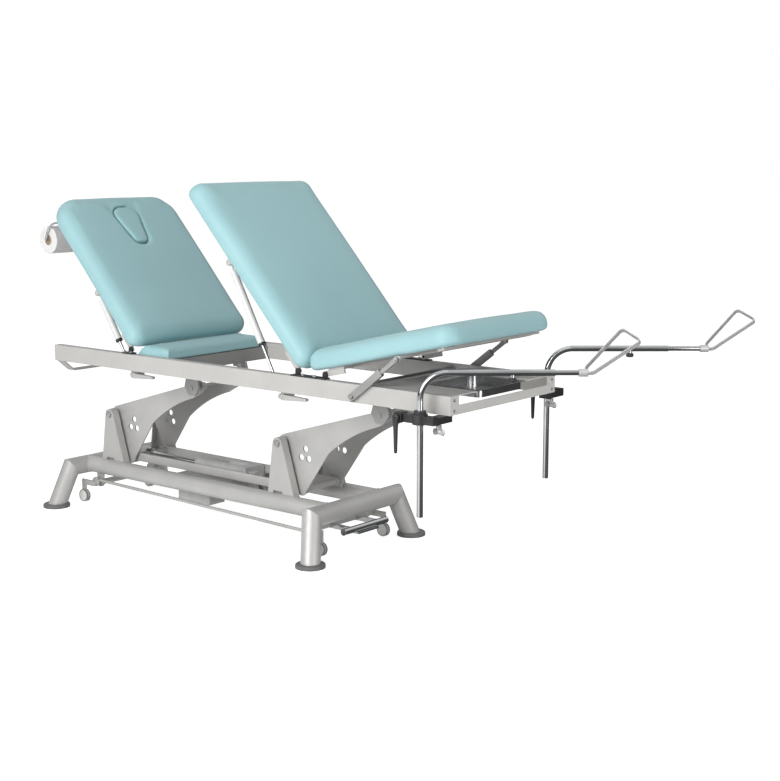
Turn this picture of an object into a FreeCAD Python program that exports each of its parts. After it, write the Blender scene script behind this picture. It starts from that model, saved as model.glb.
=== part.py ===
import FreeCAD, Part
import math
import os
from FreeCAD import Vector

# Height-adjustable examination table: welded tube base, parallel lift arms, a rail frame with three
# hinged upholstered sections, transport casters and two leg supports with stirrups.
# Millimetres. X runs from the head end to the foot end, Y across the table, Z up from the floor.

# Base frame
FOOT_X = 676.0            # half spacing of the feet along the table
FOOT_Y = 274.0            # half spacing of the feet across the table
LEG_TOP_X = 640.0         # end tubes, where the legs are mitred on
LEG_TOP_Y = 224.0
LEG_TOP_Z = 156.0
LEG_DIA = 70.0
SIDE_DIA = 63.0           # the two long tubes
SIDE_Y = 137.0
SIDE_Z = 158.0
TUBE_WALL = 3.0
CUP_DIA = 104.0           # rubber foot cups
CUP_FLANGE = 14.0
CUP_PLUG = 34.0           # plug inside the leg, measured from the floor

# Lift towers and arms
TOWER_HEAD_X = -502.0
ARM_SPACING = 902.0       # distance between the towers
PIVOT_Z = 370.0
TOWER_FACE_Y = 140.0
TOWER_DEPTH = 30.0
TOWER_PLATE = 5.0
TOWER_TOP_R = 22.0
TOWER_HEAD_SIDE = 49.0    # foot of the tower, towards the head end
TOWER_FOOT_SIDE = 81.0    # foot of the tower, towards the foot end
TOWER_SINK = 12.0         # how far the side walls reach down around the tube
TOWER_NOTCH = (44.0, 9.0)
PIVOT_PIN_DIA = 16.0
PIVOT_HEAD_DIA = 26.0
PIVOT_HEAD = 5.0
ARM_LENGTH = 490.0
ARM_ANGLE = 18.0          # degrees above level, as shown
ARM_PLATE = 6.0
ARM_OUTER_Y = 98.0
ARM_BOSS_R = 29.0
ARM_END_R = 24.0
ARM_TIP = (23.0, -181.0)  # drive tube, along and square to the arm's line
ARM_TIP_R = 20.0
DRIVE_TUBE_DIA = 22.0
ARM_HOLE_DIA = 23.0
ARM_HOLES = ((88.0, -43.0), (59.0, -67.5), (91.0, -80.0))
ARM_BUSH_DIA = 30.0
ARM_BUSH_LEN = 22.0
BRACKET_FACE_Y = 135.0
BRACKET_PLATE = 8.0
BRACKET_WIDTH = 77.0
BRACKET_DROP = 27.0       # below its pivot
TIE_Y = 80.0              # centre planes of the two tie bars
TIE_THICK = 6.0
TIE_HEIGHT = 32.0

# Actuator between the head arm and the tray
ACT_REAR = (150.0, 196.0)
ACT_TUBE_DIA = 48.0
ACT_TUBE_LEN = 300.0
ACT_ROD_DIA = 20.0
ACT_ROD_IN = 130.0        # rod length hidden in the tube at rest
ACT_EYE_DIA = 40.0
ACT_EYE_WIDTH = 24.0
MOTOR_DIA = 54.0
MOTOR_LEN = 120.0
MOTOR_Y = 46.0

# Tray and control box between the long tubes
TRAY_Z = 135.0
TRAY_X = (-300.0, 300.0)
TRAY_PLATE = 3.0
CONTROL_BOX = (170.0, 84.0, 58.0)
CONTROL_BOX_X = -75.0
CONTROL_BOX_Y = -60.0

# Transport casters under the end tubes
CASTER_SHAFT_X = 572.0
CASTER_SHAFT_Z = 89.0
CASTER_SHAFT_DIA = 22.0
CASTER_X = 630.0
CASTER_Y = 170.0
CASTER_Z = 34.0
CASTER_DIA = 50.0
CASTER_WHEEL = 7.0        # width of one wheel disc
CASTER_LEG = 6.0
CASTER_LEG_WIDTH = 22.0
CASTER_AXLE_DIA = 8.0
CASTER_LUG = 8.0
CRANK = 12.0              # crank pin radius
CRANK_PLATE = 5.0
CRANK_PIN_DIA = 8.0
LINK_DIA = 12.0
LINK_Y = 149.5
LINK_SLACK = 2.8          # radial play of the link's head end
PEDAL_X = 680.0
PEDAL_Z = 88.0
PEDAL_DIA = 24.0
PEDAL_Y = (-109.0, 125.0)
PEDAL_STRAPS = (-62.0, 78.0)
TREAD = (34.0, 110.0, 5.0)

# Top frame
RAIL_HEIGHT = 60.0
RAIL_WIDTH = 30.0
RAIL_Y = 291.0            # outer face
RAIL_Z = 590.0            # underside
RAIL_HEAD_X = -630.0
END_X = 1274.0            # outer face of the end panel
RAIL_WALL = 2.5
BEAM_WIDTH = 40.0
BEAM_HEIGHT = 48.0
BEAM_PLATE = 3.0
HEAD_BEAM_OFFSET = -10.5  # head beam's centre from its lift pivot
END_PLATE = 3.0
END_POST = 45.0           # full-height part of the end panel at each rail
END_APRON = 29.0
DECK_X = 961.0
DECK_PLATE = 3.0
DECK_OPENING_X = 1040.0
DECK_OPENING_Y = 150.0
HANGER = (40.0, 4.0)      # strip width and thickness
HANGER_DROP = 42.0
HANGER_IN = 54.0

# Sections
BOARD_GAP = 31.0          # cushion undersides above the rails when flat
HINGE_RISE = 15.0         # hinge lines above the rails
BACK_HINGE_X = 622.0
FOOT_HINGE_X = 743.0
HEAD_HINGE_X = -215.0
HINGE_PIN_DIA = 10.0
TILT = 47.5               # head and back sections as shown
FOOT_TILT = 13.1
BACK_END_X = 623.0        # cushion ends at the hinges when flat
HEAD_END_X = -214.0
FOOT_END_X = 695.0
CUSHION_WIDTH = 560.0
CUSHION_THICK = 60.0
CUSHION_EDGE = 28.0
CUSHION_CROWN = 4.0
BACK_LENGTH = 760.0
HEAD_LENGTH = 662.0
FOOT_LENGTH = 588.0
HEAD_CORNER = 100.0
FOOT_CORNER = 50.0
PLAIN_CORNER = 24.0
FILLER_X = (-168.0, -27.5)
FILLER_HALF = 256.0
FILLER_THICK = 38.7
FRAME_TUBE = 25.0
FRAME_WALL = 2.0
FRAME_Y = 215.0           # outer face of the section frames
FOOT_FRAME_DEPTH = 10.0   # the foot section's frame is of flat tube
EAR_FACE = 263.5          # outer face of the hinge ears and ends of the cross bars
EAR = 6.0
LUG = 6.0
HINGE_PLATE = 5.0
PLUG_FROM_TOP = (58.0, 240.0)
PLUG_HALF = (72.0, 32.0)   # half width at the wide and narrow ends
PLUG_CORNER = (46.0, 27.0)
PLUG_CLEAR = 0.6
PLUG_FLOOR = 14.0

# Gas springs of head and back sections
SPRING_Y = -241.0
SPRING_DIA = 26.0
SPRING_ROD_DIA = 10.0
SPRING_EYE_DIA = 20.0
SPRING_EYE = 10.0
SPRING_PIN_DIA = 8.0
BACK_SPRING_LOW = (525.0, 566.0)
BACK_SPRING_TOP = (285.0, 1007.0)
BACK_SPRING_TUBE = 312.0
BACK_SPRING_ROD = 290.0
HEAD_SPRING_LOW = (-231.0, 566.0)
HEAD_SPRING_TOP = (-418.0, 858.0)
HEAD_SPRING_TUBE = 205.0
HEAD_SPRING_ROD = 200.0
LEVER_LENGTH = 112.0
LEVER_Y = -263.0

# Ratchet struts of the foot section
STRUT_LOW = (889.0, 610.0)
STRUT_TOP = (1066.0, 745.0)
STRUT_CHANNEL = 150.0
STRUT_WIDTH = 24.0
STRUT_DEPTH = 14.0
STRUT_WALL = 2.0
STRUT_GAP = 2.0           # channel to rail face
STRUT_PIN_DIA = 8.0
STRUT_BAR = (15.0, 7.0)    # ratchet bar, width and thickness
STRUT_BAR_IN = 62.0       # bar's lower end from the channel's pin
TOOTH = (11.0, 3.0)       # ratchet teeth, pitch and depth

# Paper roll behind the head section
ROLL_DIA = 106.0
ROLL_CORE_DIA = 40.0
ROLL_HALF = 250.0
ROLL_S = HEAD_LENGTH - 53.0   # from the lower end, along the section
ROLL_P = 114.0            # behind the cushion's underside
HOLDER_WIRE = 8.0
AXLE_DIA = 9.0
HOLDER_Y = ROLL_HALF + 8.0

# Bowl in the foot end
BOWL_Y = 123.0
BOWL_X = (1052.0, 1262.0)
BOWL_RIM = 14.0
BOWL_DEPTH = 24.0
BOWL_WALL = 1.5
BOWL_DROP = 3.0           # rim below the rails' top
RUNNER = (16.0, 2.0)

# Leg supports
POST_X = 1204.0
POST_Y = 351.0
POST_DIA = 20.0
POST_WALL = 1.9
POST_LOW_Z = 275.0
BAR_Z = 725.0
BEND_R = 85.0
BAR_LENGTH = 410.0
BAR_TURN = 39.2           # degrees from +X towards +Y
ROD_DIA = 16.0
ROD_IN = 150.0
ROD_OUT = (87.0, 124.0)   # near and far rods as pulled out
CLAMP_X = (END_X - 158.0, END_X - 6.0)
CLAMP_Z = (566.0, 598.0)
CLAMP_Y = (330.0, 372.0)
CLAMP_ARM_X = (END_X - 46.0, END_X - 10.0)
CLAMP_BOSS_DIA = 48.0
CLAMP_BAR = 24.0          # width of the bar between lever, boss and arm
CLAMP_HUB = 30.0          # block that carries the lever
CLAMP_UNDER = 24.0        # how far the arm reaches under the rail
BUSH_DIA = 30.0
BUSH_RISE = 10.0
CLAMP_LEVER_X = END_X - 144.0
CLAMP_LEVER = 112.0
SCREW_X = END_X - 28.0
SCREW_Y = 312.0
KNOB_AT = 280.0
KNOB_DIA = 26.0
STIRRUP_LENGTH = 188.0
STIRRUP_END = 92.0
STIRRUP_NOSE = 44.0
STIRRUP_STRIP = (14.0, 3.5)

RUN_FIT = 0.05            # radial clearance of pins that turn
SLIDE_FIT = 0.1           # radial clearance of rods that slide
OPEN_FIT = 0.4            # radial clearance where a closed linkage is left open
SEAT_GAP = 0.3

ORIGIN = Vector(0, 0, 0)
X_AXIS = Vector(1, 0, 0)
Y_AXIS = Vector(0, 1, 0)
Z_AXIS = Vector(0, 0, 1)
RAIL_TOP = RAIL_Z + RAIL_HEIGHT
RAIL_IN = RAIL_Y - RAIL_WIDTH
HINGE_Z = RAIL_TOP + HINGE_RISE
BOARD_Z = RAIL_TOP + BOARD_GAP
TOWER_FOOT_X = TOWER_HEAD_X + ARM_SPACING
TOWER_XS = (TOWER_HEAD_X, TOWER_FOOT_X)
ARM_TURN = math.radians(ARM_ANGLE)
ARM_REACH = ARM_LENGTH * math.cos(ARM_TURN)
ARM_RISE = ARM_LENGTH * math.sin(ARM_TURN)
TIP_X = ARM_TIP[0] * math.cos(ARM_TURN) - ARM_TIP[1] * math.sin(ARM_TURN)
TIP_Z = ARM_TIP[0] * math.sin(ARM_TURN) + ARM_TIP[1] * math.cos(ARM_TURN)
LIFT_Z = PIVOT_Z + ARM_RISE
BACK_HINGE = Vector(BACK_HINGE_X, 0, HINGE_Z)
FOOT_HINGE = Vector(FOOT_HINGE_X, 0, HINGE_Z)
HEAD_HINGE = Vector(HEAD_HINGE_X, 0, HINGE_Z)

parts = {}


def box(x, y, z):
    """Block between pairs of limits."""
    return Part.makeBox(x[1] - x[0], y[1] - y[0], z[1] - z[0], Vector(x[0], y[0], z[0]))


def rod(start, end, dia):
    """Round bar from one point to another."""
    return Part.makeCylinder(dia / 2, (end - start).Length, start, end - start)


def across(x, z, y, dia):
    """Round bar along Y between two limits."""
    return rod(Vector(x, y[0], z), Vector(x, y[1], z), dia)


def outline(points):
    """Closed wire in the XZ plane; a point with a third entry is the middle of an arc."""
    at = [Vector(p[0], 0, p[1]) for p in points]
    edges = []
    count = len(points)
    i = 0
    while i < count:
        j = (i + 1) % count
        if len(points[j]) > 2:
            k = (i + 2) % count
            edges.append(Part.Arc(at[i], at[j], at[k]).toShape())
            i += 2
        else:
            edges.append(Part.LineSegment(at[i], at[j]).toShape())
            i += 1
    return Part.Wire(edges)


def plate(points, y):
    """Flat plate with an XZ outline between two Y limits."""
    face = Part.Face(outline(points))
    face.translate(Vector(0, y[0], 0))
    return face.extrude(Vector(0, y[1] - y[0], 0))


def mirror_y(shape):
    return shape.mirror(ORIGIN, Y_AXIS)


def both_sides(shape):
    """A piece and its mirror image, as two solids."""
    return Part.makeCompound([shape, mirror_y(shape)])


def fused(shapes):
    return shapes[0].multiFuse(shapes[1:]).removeSplitter()


def rotated(shape, centre, axis, degrees):
    turned = shape.copy()
    turned.rotate(centre, axis, degrees)
    return turned


def moved(shape, x, y, z):
    copy = shape.copy()
    copy.translate(Vector(x, y, z))
    return copy


def half_space(point, normal):
    """Large block on the side of a plane that its normal points to."""
    size = 4000.0
    block = Part.makeBox(size, size, size, Vector(-size / 2, -size / 2, 0))
    block.Placement = FreeCAD.Placement(point, FreeCAD.Rotation(Z_AXIS, normal)).multiply(block.Placement)
    return block


def square_tube(x, y, z, along):
    """Square tube between limits, open along the named axis."""
    outer = box(x, y, z)
    grow = 1.0
    spans = []
    for name, span in (("x", x), ("y", y), ("z", z)):
        if name == along:
            spans.append((span[0] - grow, span[1] + grow))
        else:
            spans.append((span[0] + FRAME_WALL, span[1] - FRAME_WALL))
    return outer.cut(box(spans[0], spans[1], spans[2]))


# Base: mitred end frames, long tubes, foot cups

def end_frame_form(side, dia):
    """End tube with two splayed legs, mitred, as a solid bar of the given diameter."""
    x = side * LEG_TOP_X
    middle = rod(Vector(x, -2 * LEG_TOP_Y, LEG_TOP_Z), Vector(x, 2 * LEG_TOP_Y, LEG_TOP_Z), dia)
    legs = []
    for hand in (-1, 1):
        top = Vector(x, hand * LEG_TOP_Y, LEG_TOP_Z)
        foot = Vector(side * FOOT_X, hand * FOOT_Y, 0)
        down = (foot - top).normalize()
        inward = Vector(0, -hand, 0)
        mitre = half_space(top, down - inward)
        leg = rod(top - down * 2 * dia, foot + down * dia, dia).common(mitre)
        legs.append(leg.common(half_space(Vector(0, 0, CUP_FLANGE), Z_AXIS)))
        middle = middle.cut(mitre)
    return middle.multiFuse(legs)


def end_frame(side):
    bore = end_frame_form(side, LEG_DIA - 2 * TUBE_WALL)
    return end_frame_form(side, LEG_DIA).cut(bore).removeSplitter()


def foot_cup(side, hand):
    """Rubber cup: floor flange and a plug inside the leg."""
    centre = Vector(side * FOOT_X, hand * FOOT_Y, 0)
    top = Vector(side * LEG_TOP_X, hand * LEG_TOP_Y, LEG_TOP_Z)
    along = (centre - top).normalize()
    flange = Part.makeCylinder(CUP_DIA / 2, CUP_FLANGE, centre)
    rim = [e for e in flange.Edges if e.Closed and e.BoundBox.ZMin > CUP_FLANGE / 2]
    flange = flange.makeFillet(CUP_FLANGE * 0.35, rim)
    plug = rod(centre - along * CUP_PLUG, centre, LEG_DIA - 2 * TUBE_WALL - 2 * SEAT_GAP)
    plug = plug.common(half_space(Vector(0, 0, CUP_FLANGE / 2), Z_AXIS))
    return flange.fuse(plug).removeSplitter()


def tube_core(hand, dia):
    """Solid bar in the place of one long tube."""
    y = hand * SIDE_Y
    return rod(Vector(-LEG_TOP_X, y, SIDE_Z), Vector(LEG_TOP_X, y, SIDE_Z), dia)


def caster_lug(side):
    """Bearing plate welded under the front tube."""
    x = side * CASTER_SHAFT_X
    r = CASTER_SHAFT_DIA / 2 + 7
    points = ((x - r, SIDE_Z), (x + r, SIDE_Z), (x + r, CASTER_SHAFT_Z),
              (x, CASTER_SHAFT_Z - r, True), (x - r, CASTER_SHAFT_Z))
    outer = -LINK_Y + LINK_DIA / 2 + CRANK_PLATE + 1.5
    y = (outer, outer + CASTER_LUG)
    bore = across(x, CASTER_SHAFT_Z, (y[0] - 1, y[1] + 1), CASTER_SHAFT_DIA + 2 * RUN_FIT)
    return plate(points, y).cut(bore).cut(tube_core(-1, SIDE_DIA - TUBE_WALL))


def side_tube():
    """Long tube, its ends coped to the end tubes, with the two caster lugs."""
    tube = tube_core(-1, SIDE_DIA).multiFuse([caster_lug(-1), caster_lug(1)])
    tube = tube.cut(tube_core(-1, SIDE_DIA - 2 * TUBE_WALL))
    for side in (-1, 1):
        tube = tube.cut(across(side * LEG_TOP_X, LEG_TOP_Z, (-LEG_TOP_Y, 0), LEG_DIA))
    return tube.removeSplitter()


parts["end_frames"] = Part.makeCompound([end_frame(-1), end_frame(1)])
parts["foot_cups"] = Part.makeCompound([foot_cup(s, h) for s in (-1, 1) for h in (-1, 1)])
parts["side_tubes"] = both_sides(side_tube())


# Lift towers: folded plates standing on the long tubes

def tower_outline(inset):
    """Upright with a rounded top, around a pivot at the origin, open at the bottom when inset."""
    low = SIDE_Z + SIDE_DIA / 2 - TOWER_SINK - PIVOT_Z
    r = TOWER_TOP_R - inset
    lean_head = math.atan2(TOWER_HEAD_SIDE - TOWER_TOP_R, -low)
    lean_foot = math.atan2(TOWER_FOOT_SIDE - TOWER_TOP_R, -low)
    if inset > 0:
        low = low - 2 * inset
    return ((-TOWER_HEAD_SIDE + inset, low), (-r * math.cos(lean_head), r * math.sin(lean_head)), (0, r, True),
            (r * math.cos(lean_foot), r * math.sin(lean_foot)), (TOWER_FOOT_SIDE - inset, low))


def tower(x):
    """Channel-shaped tower, open towards the middle of the table."""
    outer_y = (-TOWER_FACE_Y, -TOWER_FACE_Y + TOWER_DEPTH)
    inner_y = (-TOWER_FACE_Y + TOWER_PLATE, -TOWER_FACE_Y + TOWER_DEPTH + 1)
    body = plate(tower_outline(0), outer_y).cut(plate(tower_outline(TOWER_PLATE), inner_y))
    body = body.cut(across(0, 0, (-TOWER_FACE_Y - 1, 0), PIVOT_PIN_DIA + 2 * RUN_FIT))
    top = SIDE_Z + SIDE_DIA / 2 - PIVOT_Z
    half = TOWER_NOTCH[0] / 2
    body = body.cut(box((-half, half), (-TOWER_FACE_Y - 1, inner_y[0] + 1), (top - 40, top + TOWER_NOTCH[1])))
    body.translate(Vector(x, 0, PIVOT_Z))
    return body.cut(tube_core(-1, SIDE_DIA))


def pivot_bolt(x):
    """Pivot pin with a round head outside the tower."""
    inner = -ARM_OUTER_Y + ARM_PLATE + ARM_BUSH_LEN
    pin = across(x, PIVOT_Z, (-TOWER_FACE_Y - 1, inner), PIVOT_PIN_DIA)
    head = across(x, PIVOT_Z, (-TOWER_FACE_Y - PIVOT_HEAD, -TOWER_FACE_Y), PIVOT_HEAD_DIA)
    return pin.fuse(head).removeSplitter()


towers = [tower(x) for x in TOWER_XS]
parts["lift_towers"] = Part.makeCompound(towers + [mirror_y(t) for t in towers])
bolts = [pivot_bolt(x) for x in TOWER_XS]
parts["pivot_bolts"] = Part.makeCompound(bolts + [mirror_y(b) for b in bolts])


# Lift arms: two bell-crank plates joined by a web and a drive tube

def arm_outline():
    """Side plate along X from the tower pivot: straight top edge, arched underside, drawn-down tip."""
    r = ARM_BOSS_R
    end = ARM_END_R
    tip_x, tip_z = ARM_TIP
    tr = ARM_TIP_R
    return ((0, r), (ARM_LENGTH * 0.95, r * 0.58), (ARM_LENGTH, end), (ARM_LENGTH + end, 0, True),
            (ARM_LENGTH, -end), (ARM_LENGTH * 0.9, -end * 1.4), (ARM_LENGTH * 0.604, -end * 1.95, True),
            (ARM_LENGTH * 0.385, -end * 3.34), (tip_x + tr * 0.94, tip_z - tr * 0.34),
            (tip_x + tr * 0.17, tip_z - tr * 0.985, True), (tip_x - tr * 0.87, tip_z - tr * 0.5),
            (-r * 0.95, -r * 0.31), (-r * 0.71, r * 0.71, True))


def lift_arm(x, end_fit):
    """One welded arm; end_fit is the radial clearance of its upper pivot."""
    inner = ARM_OUTER_Y - ARM_PLATE
    side = plate(arm_outline(), (-ARM_OUTER_Y, -inner))
    bush_y = (-inner, -inner + ARM_BUSH_LEN)
    rings = [across(px, 0, bush_y, ARM_BUSH_DIA) for px in (0, ARM_LENGTH)]
    side = side.multiFuse(rings)
    for hx, hz in ARM_HOLES:
        side = side.cut(across(hx, hz, (-ARM_OUTER_Y - 1, -inner + 1), ARM_HOLE_DIA))
    for px, fit in ((0, RUN_FIT), (ARM_LENGTH, end_fit)):
        side = side.cut(across(px, 0, (-ARM_OUTER_Y - 1, bush_y[1] + 1), PIVOT_PIN_DIA + 2 * fit))
    web = box((ARM_LENGTH * 0.14, ARM_LENGTH * 0.9), (-inner, inner), (ARM_BOSS_R * 0.3, ARM_BOSS_R * 0.5))
    drive = across(ARM_TIP[0], ARM_TIP[1], (-inner, inner), DRIVE_TUBE_DIA)
    arm = fused([side, mirror_y(side), web, drive])
    arm.rotate(ORIGIN, Y_AXIS, -ARM_ANGLE)
    arm.translate(Vector(x, 0, PIVOT_Z))
    return arm


def tie_bar():
    """Flat bar between the drive tubes of the two arms."""
    z = PIVOT_Z + TIP_Z
    h = TIE_HEIGHT / 2
    x0 = TOWER_HEAD_X + TIP_X
    x1 = TOWER_FOOT_X + TIP_X
    points = ((x0, z + h), (x1, z + h), (x1 + h, z, True), (x1, z - h), (x0, z - h), (x0 - h, z, True))
    bar = plate(points, (-TIE_Y - TIE_THICK / 2, -TIE_Y + TIE_THICK / 2))
    for x, fit in ((x0, OPEN_FIT), (x1, RUN_FIT)):
        bar = bar.cut(across(x, z, (-TIE_Y - TIE_THICK, -TIE_Y + TIE_THICK), DRIVE_TUBE_DIA + 2 * fit))
    return bar


parts["lift_arm_head"] = lift_arm(TOWER_HEAD_X, OPEN_FIT)
parts["lift_arm_foot"] = lift_arm(TOWER_FOOT_X, RUN_FIT)
parts["tie_bars"] = both_sides(tie_bar())


# Linear actuator: rod eye on the head arm's drive tube, motor tube reaching to the tray

ACT_EYE = Vector(TOWER_HEAD_X + TIP_X, 0, PIVOT_Z + TIP_Z)
ACT_END = Vector(ACT_REAR[0], 0, ACT_REAR[1])
ACT_DIR = (ACT_END - ACT_EYE).normalize()
ACT_MOUTH = ACT_END - ACT_DIR * ACT_TUBE_LEN


def actuator_rod():
    half = ACT_EYE_WIDTH / 2
    eye = across(ACT_EYE.x, ACT_EYE.z, (-half, half), ACT_EYE_DIA)
    bar = rod(ACT_EYE, ACT_MOUTH + ACT_DIR * ACT_ROD_IN, ACT_ROD_DIA)
    bore = across(ACT_EYE.x, ACT_EYE.z, (-half - 1, half + 1), DRIVE_TUBE_DIA + 2 * RUN_FIT)
    return eye.fuse(bar).cut(bore).removeSplitter()


def actuator_body():
    """Tube with a gear housing, and a motor lying beside it."""
    tube = rod(ACT_MOUTH, ACT_END - ACT_DIR * 20, ACT_TUBE_DIA)
    bore_end = ACT_MOUTH + ACT_DIR * (ACT_ROD_IN + 90)
    half = ACT_EYE_WIDTH / 2
    x, z = ACT_REAR
    lug = box((x - 26, x + 14), (-half, half), (z - 13, z + 13))
    motor_end = ACT_END - ACT_DIR * 40 + Vector(0, MOTOR_Y, 0)
    motor = rod(motor_end - ACT_DIR * MOTOR_LEN, motor_end, MOTOR_DIA)
    gear = box((x - 62, x - 20), (-28, MOTOR_Y + MOTOR_DIA / 2), (z - 27, z + 28))
    body = fused([tube, lug, motor, gear])
    return body.cut(rod(ACT_MOUTH - ACT_DIR, bore_end, ACT_ROD_DIA + 2 * SLIDE_FIT))


def base_tray():
    """Sheet tray between the long tubes, with two cheeks for the actuator's rear end."""
    reach = SIDE_Y - 4
    floor = box(TRAY_X, (-reach, reach), (TRAY_Z, TRAY_Z + TRAY_PLATE))
    cheek_y = ACT_EYE_WIDTH / 2 + 1
    x, z = ACT_REAR
    low = TRAY_Z + TRAY_PLATE
    points = ((x - 12, low), (x - 12, z + 10), (x + 14, z + 10), (x + 40, low))
    cheek = plate(points, (-cheek_y - 5, -cheek_y))
    tray = fused([floor, cheek, mirror_y(cheek)])
    return tray.cut(tube_core(-1, SIDE_DIA)).cut(tube_core(1, SIDE_DIA))


def control_box():
    length, width, height = CONTROL_BOX
    x = (CONTROL_BOX_X - length / 2, CONTROL_BOX_X + length / 2)
    y = (CONTROL_BOX_Y - width / 2, CONTROL_BOX_Y + width / 2)
    body = box(x, y, (TRAY_Z - height, TRAY_Z))
    upright = [e for e in body.Edges if abs(e.BoundBox.ZLength - height) < 0.01]
    return body.makeFillet(6, upright)


parts["actuator_rod"] = actuator_rod()
parts["actuator_body"] = actuator_body()
parts["base_tray"] = base_tray()
parts["control_box"] = control_box()


# Transport casters: a shaft at each end with two legs, twin-disc wheels, and a link between the shafts

def caster_bar(side):
    """Shaft, two cranked legs and the crank that holds the link; the head crank points up."""
    x = side * CASTER_SHAFT_X
    wheel_x = side * CASTER_X
    end = CASTER_Y + CASTER_LEG / 2
    half = CASTER_LEG_WIDTH / 2
    pieces = [across(x, CASTER_SHAFT_Z, (-end, end), CASTER_SHAFT_DIA)]
    for hand in (-1, 1):
        y = (hand * CASTER_Y - CASTER_LEG / 2, hand * CASTER_Y + CASTER_LEG / 2)
        pieces.append(box(sorted((x, wheel_x + side * half)), y, (CASTER_SHAFT_Z - half, CASTER_SHAFT_Z + half)))
        points = ((wheel_x - half, CASTER_SHAFT_Z), (wheel_x + half, CASTER_SHAFT_Z), (wheel_x + half, CASTER_Z),
                  (wheel_x, CASTER_Z - half, True), (wheel_x - half, CASTER_Z))
        pieces.append(plate(points, y))
    pin_z = CASTER_SHAFT_Z - side * CRANK
    gap = (-LINK_Y - LINK_DIA / 2 - 0.5, -LINK_Y + LINK_DIA / 2 + 0.5)
    pieces[0] = pieces[0].cut(box((x - 50, x + 50), gap, (0, SIDE_Z)))
    mid_z = (CASTER_SHAFT_Z + pin_z) / 2
    cheek_dia = CRANK + CASTER_SHAFT_DIA + 4
    for y0 in (gap[0] - CRANK_PLATE, gap[1]):
        pieces.append(across(x, mid_z, (y0, y0 + CRANK_PLATE), cheek_dia))
    pieces.append(across(x, pin_z, (gap[0] - 1, gap[1] + 1), CRANK_PIN_DIA))
    bar = fused(pieces)
    bore = across(wheel_x, CASTER_Z, (-2 * CASTER_Y, 2 * CASTER_Y), CASTER_AXLE_DIA + 2 * RUN_FIT)
    return bar.cut(bore)


def caster_wheel(side, hand):
    """Two tyred discs on one short axle, one each side of the leg."""
    inner = CASTER_LEG / 2 + SEAT_GAP
    outer = inner + CASTER_WHEEL
    r = CASTER_DIA / 2
    axle = CASTER_AXLE_DIA / 2
    half = [(0, outer), (r - 7, outer), (r - 6, outer - 1), (r - 2, outer - 1), (r, outer - 3),
            (r, inner + 2), (r - 2, inner), (axle, inner)]
    points = half + [(p[0], -p[1]) for p in reversed(half)]
    at = [Vector(p[0], p[1], 0) for p in points]
    wheel = Part.Face(Part.makePolygon(at + [at[0]])).revolve(ORIGIN, Y_AXIS, 360)
    wheel.translate(Vector(side * CASTER_X, hand * CASTER_Y, CASTER_Z))
    return wheel


def caster_pedal():
    """Chrome bar across the foot end on two straps, with a tread plate under it."""
    pieces = [across(PEDAL_X, PEDAL_Z, PEDAL_Y, PEDAL_DIA)]
    low = PEDAL_Z - PEDAL_DIA / 2
    mid = (PEDAL_Y[0] + PEDAL_Y[1]) / 2
    pieces.append(box((PEDAL_X - TREAD[0] / 2, PEDAL_X + TREAD[0] / 2), (mid - TREAD[1] / 2, mid + TREAD[1] / 2),
                      (low - TREAD[2], low + 2)))
    for y in PEDAL_STRAPS:
        pieces.append(box((CASTER_SHAFT_X, PEDAL_X), (y - 4, y + 4), (PEDAL_Z - 9, PEDAL_Z + 9)))
    shaft = across(CASTER_SHAFT_X, CASTER_SHAFT_Z, (-CASTER_Y, CASTER_Y), CASTER_SHAFT_DIA)
    behind = half_space(Vector(CASTER_SHAFT_X, 0, 0), X_AXIS)
    return fused(pieces).common(behind).cut(shaft)


LINK_HEAD = Vector(-CASTER_SHAFT_X, -LINK_Y, CASTER_SHAFT_Z + CRANK)
LINK_FOOT = Vector(CASTER_SHAFT_X, -LINK_Y, CASTER_SHAFT_Z - CRANK)


def caster_link():
    """Long round bar with an eye at each end; the crank pins pass through the eyes."""
    half = LINK_DIA / 2
    bar = rod(LINK_HEAD, LINK_FOOT, LINK_DIA)
    pieces = [bar]
    bores = []
    for end, slack in ((LINK_HEAD, LINK_SLACK), (LINK_FOOT, RUN_FIT)):
        y = (end.y - half * 0.6, end.y + half * 0.6)
        pieces.append(across(end.x, end.z, y, CRANK_PIN_DIA + 16))
        bores.append(across(end.x, end.z, (end.y - LINK_DIA, end.y + LINK_DIA), CRANK_PIN_DIA + 2 * slack))
    link = fused(pieces)
    for bore in bores:
        link = link.cut(bore)
    return link


parts["caster_bar_head"] = caster_bar(-1)
parts["caster_bar_foot"] = caster_bar(1)
parts["caster_pedal"] = caster_pedal()
parts["caster_link"] = caster_link()
for end_name, side in (("head", -1), ("foot", 1)):
    for hand_name, hand in (("near", -1), ("far", 1)):
        parts["caster_wheel_%s_%s" % (end_name, hand_name)] = caster_wheel(side, hand)


# Top frame: rails, cross members with lift brackets, end panel with deck, head-end hanger

def rail():
    """Front rail: rectangular tube, closed at the head end, with a stud for the ratchet strut."""
    x1 = END_X - END_PLATE
    tube = box((RAIL_HEAD_X, x1), (-RAIL_Y, -RAIL_IN), (RAIL_Z, RAIL_TOP))
    stud = across(STRUT_LOW[0], STRUT_LOW[1], (-RAIL_Y - STRUT_GAP - STRUT_DEPTH - 2, -RAIL_Y + 1), STRUT_PIN_DIA)
    inner_y = (-RAIL_Y + RAIL_WALL, -RAIL_IN - RAIL_WALL)
    bore = box((RAIL_HEAD_X + RAIL_WALL, x1 + 1), inner_y, (RAIL_Z + RAIL_WALL, RAIL_TOP - RAIL_WALL))
    return tube.fuse(stud).cut(bore)


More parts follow.
